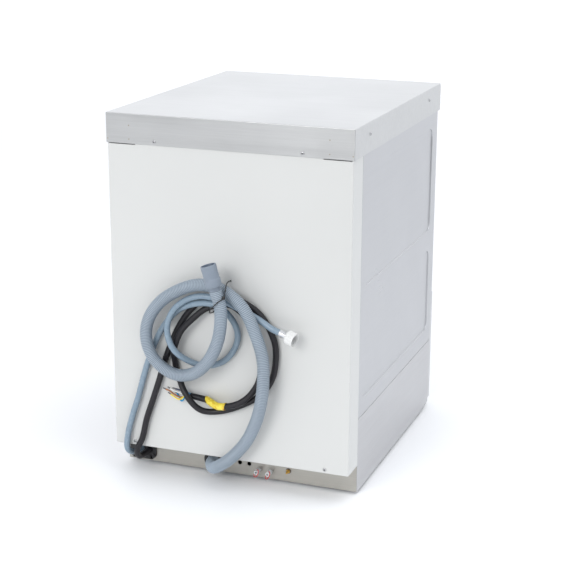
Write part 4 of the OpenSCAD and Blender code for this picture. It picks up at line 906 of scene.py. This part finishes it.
def wire_ring(spot, turn, radius, wire, steps, sides):
    """A closed ring of round wire."""
    take()
    bpy.ops.mesh.primitive_torus_add(
        location=spot, rotation=turn, major_radius=radius, minor_radius=wire,
        major_segments=steps, minor_segments=sides)
    bpy.ops.object.transform_apply(location=True, rotation=True, scale=True)
    bpy.ops.object.shade_smooth()
    return bpy.context.object


rings, clips = [], []
swung = Matrix.Rotation(math.radians(RING_SWING), 3, RING_AXIS) @ Vector((0, 1, 0))
for low, high in solids("tube_rings"):
    rings.append(wire_ring((low + high) / 2 + Vector((0, RING_OUT, 0)),
                           swung.to_track_quat("Z", "Y").to_euler(), RING_R, RING_WIRE, 40, 10))
for low, high in solids("dosing_tubes"):
    middle = (low + high) / 2
    spot = Vector((middle.x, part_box("earth_stud")[0].y + CLIP_OUT, middle.z))
    clips.append(wire_ring(spot, (math.radians(90), 0, 0), CLIP_R, CLIP_WIRE, 36, 8))
    for lean in (-1, 1):
        clips.append(turned("clip_ear", [(0.6, 0), (0.6, 7), (0.9, 7.6), (0.4, 8), (0.01, 8)],
                            spot + Vector((-0.004, 0, 0.0042)), (-0.7, 0.25 * lean, 0.9), 10))
finished(joined(rings, "stub_rings"), "casing", [ring_red], ["tube_rings"])
finished(joined(clips, "stub_spring_clips"), "casing", [clip_steel])
stud_brass = steel("stud_brass", (0.62, 0.38, 0.10), 0.3, (400, 400, 400), tone=0.1, cloud=60)
washer_steel = steel("washer_steel", (0.20, 0.19, 0.18), 0.4, (400, 400, 400))
low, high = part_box("earth_stud")
spot = Vector(((low.x + high.x) / 2, low.y + STUD_OUT, (low.z + high.z) / 2))
stud_ridges = [(STUD_R - STUD_THREAD * (k % 2), 4 + STUD_HALF_PITCH * k) for k in range(21)]
stud = turned("stud_bolt", [(STUD_R, -8), (STUD_R, 4)] + stud_ridges + [(1.6, 14.9), (0.01, 15)],
              spot, (0, 1, 0), 24)
stud_nut = turned("stud_nut", [(2.3, 1.0), (4.6, 1.0), (5.0, 1.4), (5.0, 3.8), (4.6, 4.2),
                               (2.3, 4.2), (2.3, 1.0)], spot, (0, 1, 0), 6, solid=False)
finished(joined([stud, stud_nut], "earth_stud_brass"), "casing", [stud_brass],
         ["earth_stud"])
star = turned("stud_washer", [(2.3, 0), (6.4, 0), (6.6, 0.3), (6.4, 0.8), (2.3, 1.0), (2.3, 0)],
              spot, (0, 1, 0), 16, solid=False)
finished(star, "casing", [washer_steel])

# ---- Controls ------------------------------------------------------------------------
# A fascia of dark moulded plastic under the cover's front lip, with three push buttons
# and a smoked window; the board sits on bosses behind it.

fascia_plastic = grained("fascia_plastic", (0.05, 0.053, 0.057), 0.42, size=700, lift=0.00008,
                         tone=0.05)
softened("control_fascia", "control_fascia_moulded", fascia_plastic, 0.8, 0.6)
for node, slot_name, colour in (("power_button", "power_red", (0.52, 0.03, 0.02)),
                                ("program_button", "button_grey", (0.52, 0.53, 0.55)),
                                ("start_button", "button_green", (0.03, 0.26, 0.07))):
    cap = grained(slot_name, colour, 0.3, lift=0.00003, cloud=50)
    softened(node, node + "_cap", cap, 0.8, 0.4, node)
window_glass = grained("window_glass", (0.01, 0.012, 0.015), 0.06, size=60, lift=0.00001,
                       tone=0.02)
softened("display_window", "display_pane", window_glass, 0.4, 0.6)
board_green = grained("board_green", (0.01, 0.12, 0.04), 0.4, size=300, lift=0.0001, tone=0.3,
                      cloud=150)
dress(board_green, "control_board")

# ---- Door ----------------------------------------------------------------------------
# A hollow door of brushed sheet with a plug that fills the chamber's mouth, a bent tube
# for a handle, and arms that turn on pins and are balanced by two springs.

softened("door_outer_panel", "door_outer_sheet", front_steel, 1.1, 0.3, "door")
door_inner = steel("door_inner", (0.55, 0.555, 0.565), 0.3, (3, 300, 300), wave=0.001)
softened("door_inner_panel", "door_inner_sheet", door_inner, 1.0, 0.35, "door")
handle_steel = steel("handle_steel", (0.62, 0.625, 0.63), 0.18, (3, 500, 500))
dress(handle_steel, "door_handle")
mechanism_steel = steel("mechanism_steel", (0.42, 0.42, 0.43), 0.38, (120, 120, 120), tone=0.08,
                        cloud=30)
dress(mechanism_steel, "door_hinge_arms", "hinge_brackets", "door_springs")
seal_rubber = grained("seal_rubber", (0.022, 0.022, 0.024), 0.55, size=500, lift=0.0001, tone=0.1)
softened("door_seal", "door_seal_rubber", seal_rubber, 1.2, 0.5)

# ---- Wash chamber --------------------------------------------------------------------
# A welded tank of bright stainless sheet with rails for the rack, a stepped basin with
# two perforated plates and a basket, an overflow pipe and a hairpin element.

HOLE_PITCH = 0.004
chamber_steel = steel("chamber_steel", (0.58, 0.585, 0.59), 0.24, (120, 4, 120), tone=0.03,
                      cloud=4, wave=0.002)
dress(chamber_steel, "tank_shell", "tank_back_wall", "tank_basin", "rack_rails")

# The plates' perforation is drawn in their material: a dimple in the middle of each cell,
# painted near black, as the shade seen through the hole
filter_steel, tree, shader = fresh_material("filter_steel")
where = own_place(tree)
grid = put(tree, "ShaderNodeMapping", {"Vector": where, "Scale": (1 / HOLE_PITCH,) * 3,
                                       "Location": (0, 0, 0.2)}).outputs[0]
cell = put(tree, "ShaderNodeVectorMath", {0: grid}, operation="FRACTION").outputs[0]
from_middle = put(tree, "ShaderNodeVectorMath", {0: cell, 1: (0.5, 0.5, 0.5)},
                  operation="DISTANCE").outputs["Value"]
hole = ramp(tree, from_middle, 0.25, 0.3, 1.0, 0.0)
plate = clouded(tree, (0.55, 0.555, 0.56), 9.0, 0.05, 0.3, 0.05)
feed(shader, {"Base Color": blend(tree, "RGBA", hole, plate.outputs["Color"],
                                  (0.02, 0.02, 0.02, 1)),
              "Metallic": 1.0, "Roughness": plate.outputs["Roughness"],
              "Normal": raised(tree, hole, 0.0006, invert=True)})
dress(filter_steel, "tank_filters")

overflow_plastic = grained("overflow_plastic", (0.66, 0.66, 0.62), 0.4, size=600, lift=0.00005)
dress(overflow_plastic, "overflow_pipe")
heater_steel = steel("heater_steel", (0.45, 0.42, 0.36), 0.35, (300, 300, 300), tone=0.12,
                     cloud=20)
dress(heater_steel, "tank_heater")

# ---- Spray arms ----------------------------------------------------------------------
# Flat pressed stainless arms with a row of jets, a wash arm and a rinse arm on each
# spindle, above and below the rack.

arm_steel = steel("arm_steel", (0.60, 0.605, 0.61), 0.2, (3, 300, 300))
for node in ("lower_wash_arm", "lower_rinse_arm", "upper_wash_arm", "upper_rinse_arm"):
    softened(node, node + "_pressed", arm_steel, 0.8, 0.5, node)
pipe_steel = steel("pipe_steel", (0.50, 0.51, 0.52), 0.3, (200, 200, 200))
dress(pipe_steel, "wash_manifold")

# ---- Pumps, boiler and electrics -----------------------------------------------------
# The works on the tray: a wash pump with a finned motor, a drain pump, the rinse boiler on
# its saddles, a valve, two dosing pumps and the terminals.

pump_plastic = grained("pump_plastic", (0.06, 0.065, 0.07), 0.45, size=400, lift=0.0001, tone=0.1)
dress(pump_plastic, "wash_pump_housing", "drain_pump", "dosing_pumps")
motor_aluminium = steel("motor_aluminium", (0.30, 0.31, 0.33), 0.5, (300, 300, 300), tone=0.1,
                        cloud=20)
dress(motor_aluminium, "wash_pump_motor")
boiler_steel = steel("boiler_steel", (0.50, 0.50, 0.51), 0.3, (120, 120, 6), tone=0.06, cloud=8)
dress(boiler_steel, "rinse_boiler")
valve_plastic = grained("valve_plastic", (0.68, 0.68, 0.62), 0.4, size=500, lift=0.0001)
dress(valve_plastic, "inlet_valve")
terminal_plastic = grained("terminal_plastic", (0.62, 0.58, 0.46), 0.5, size=500, lift=0.0001)
dress(terminal_plastic, "terminal_block")
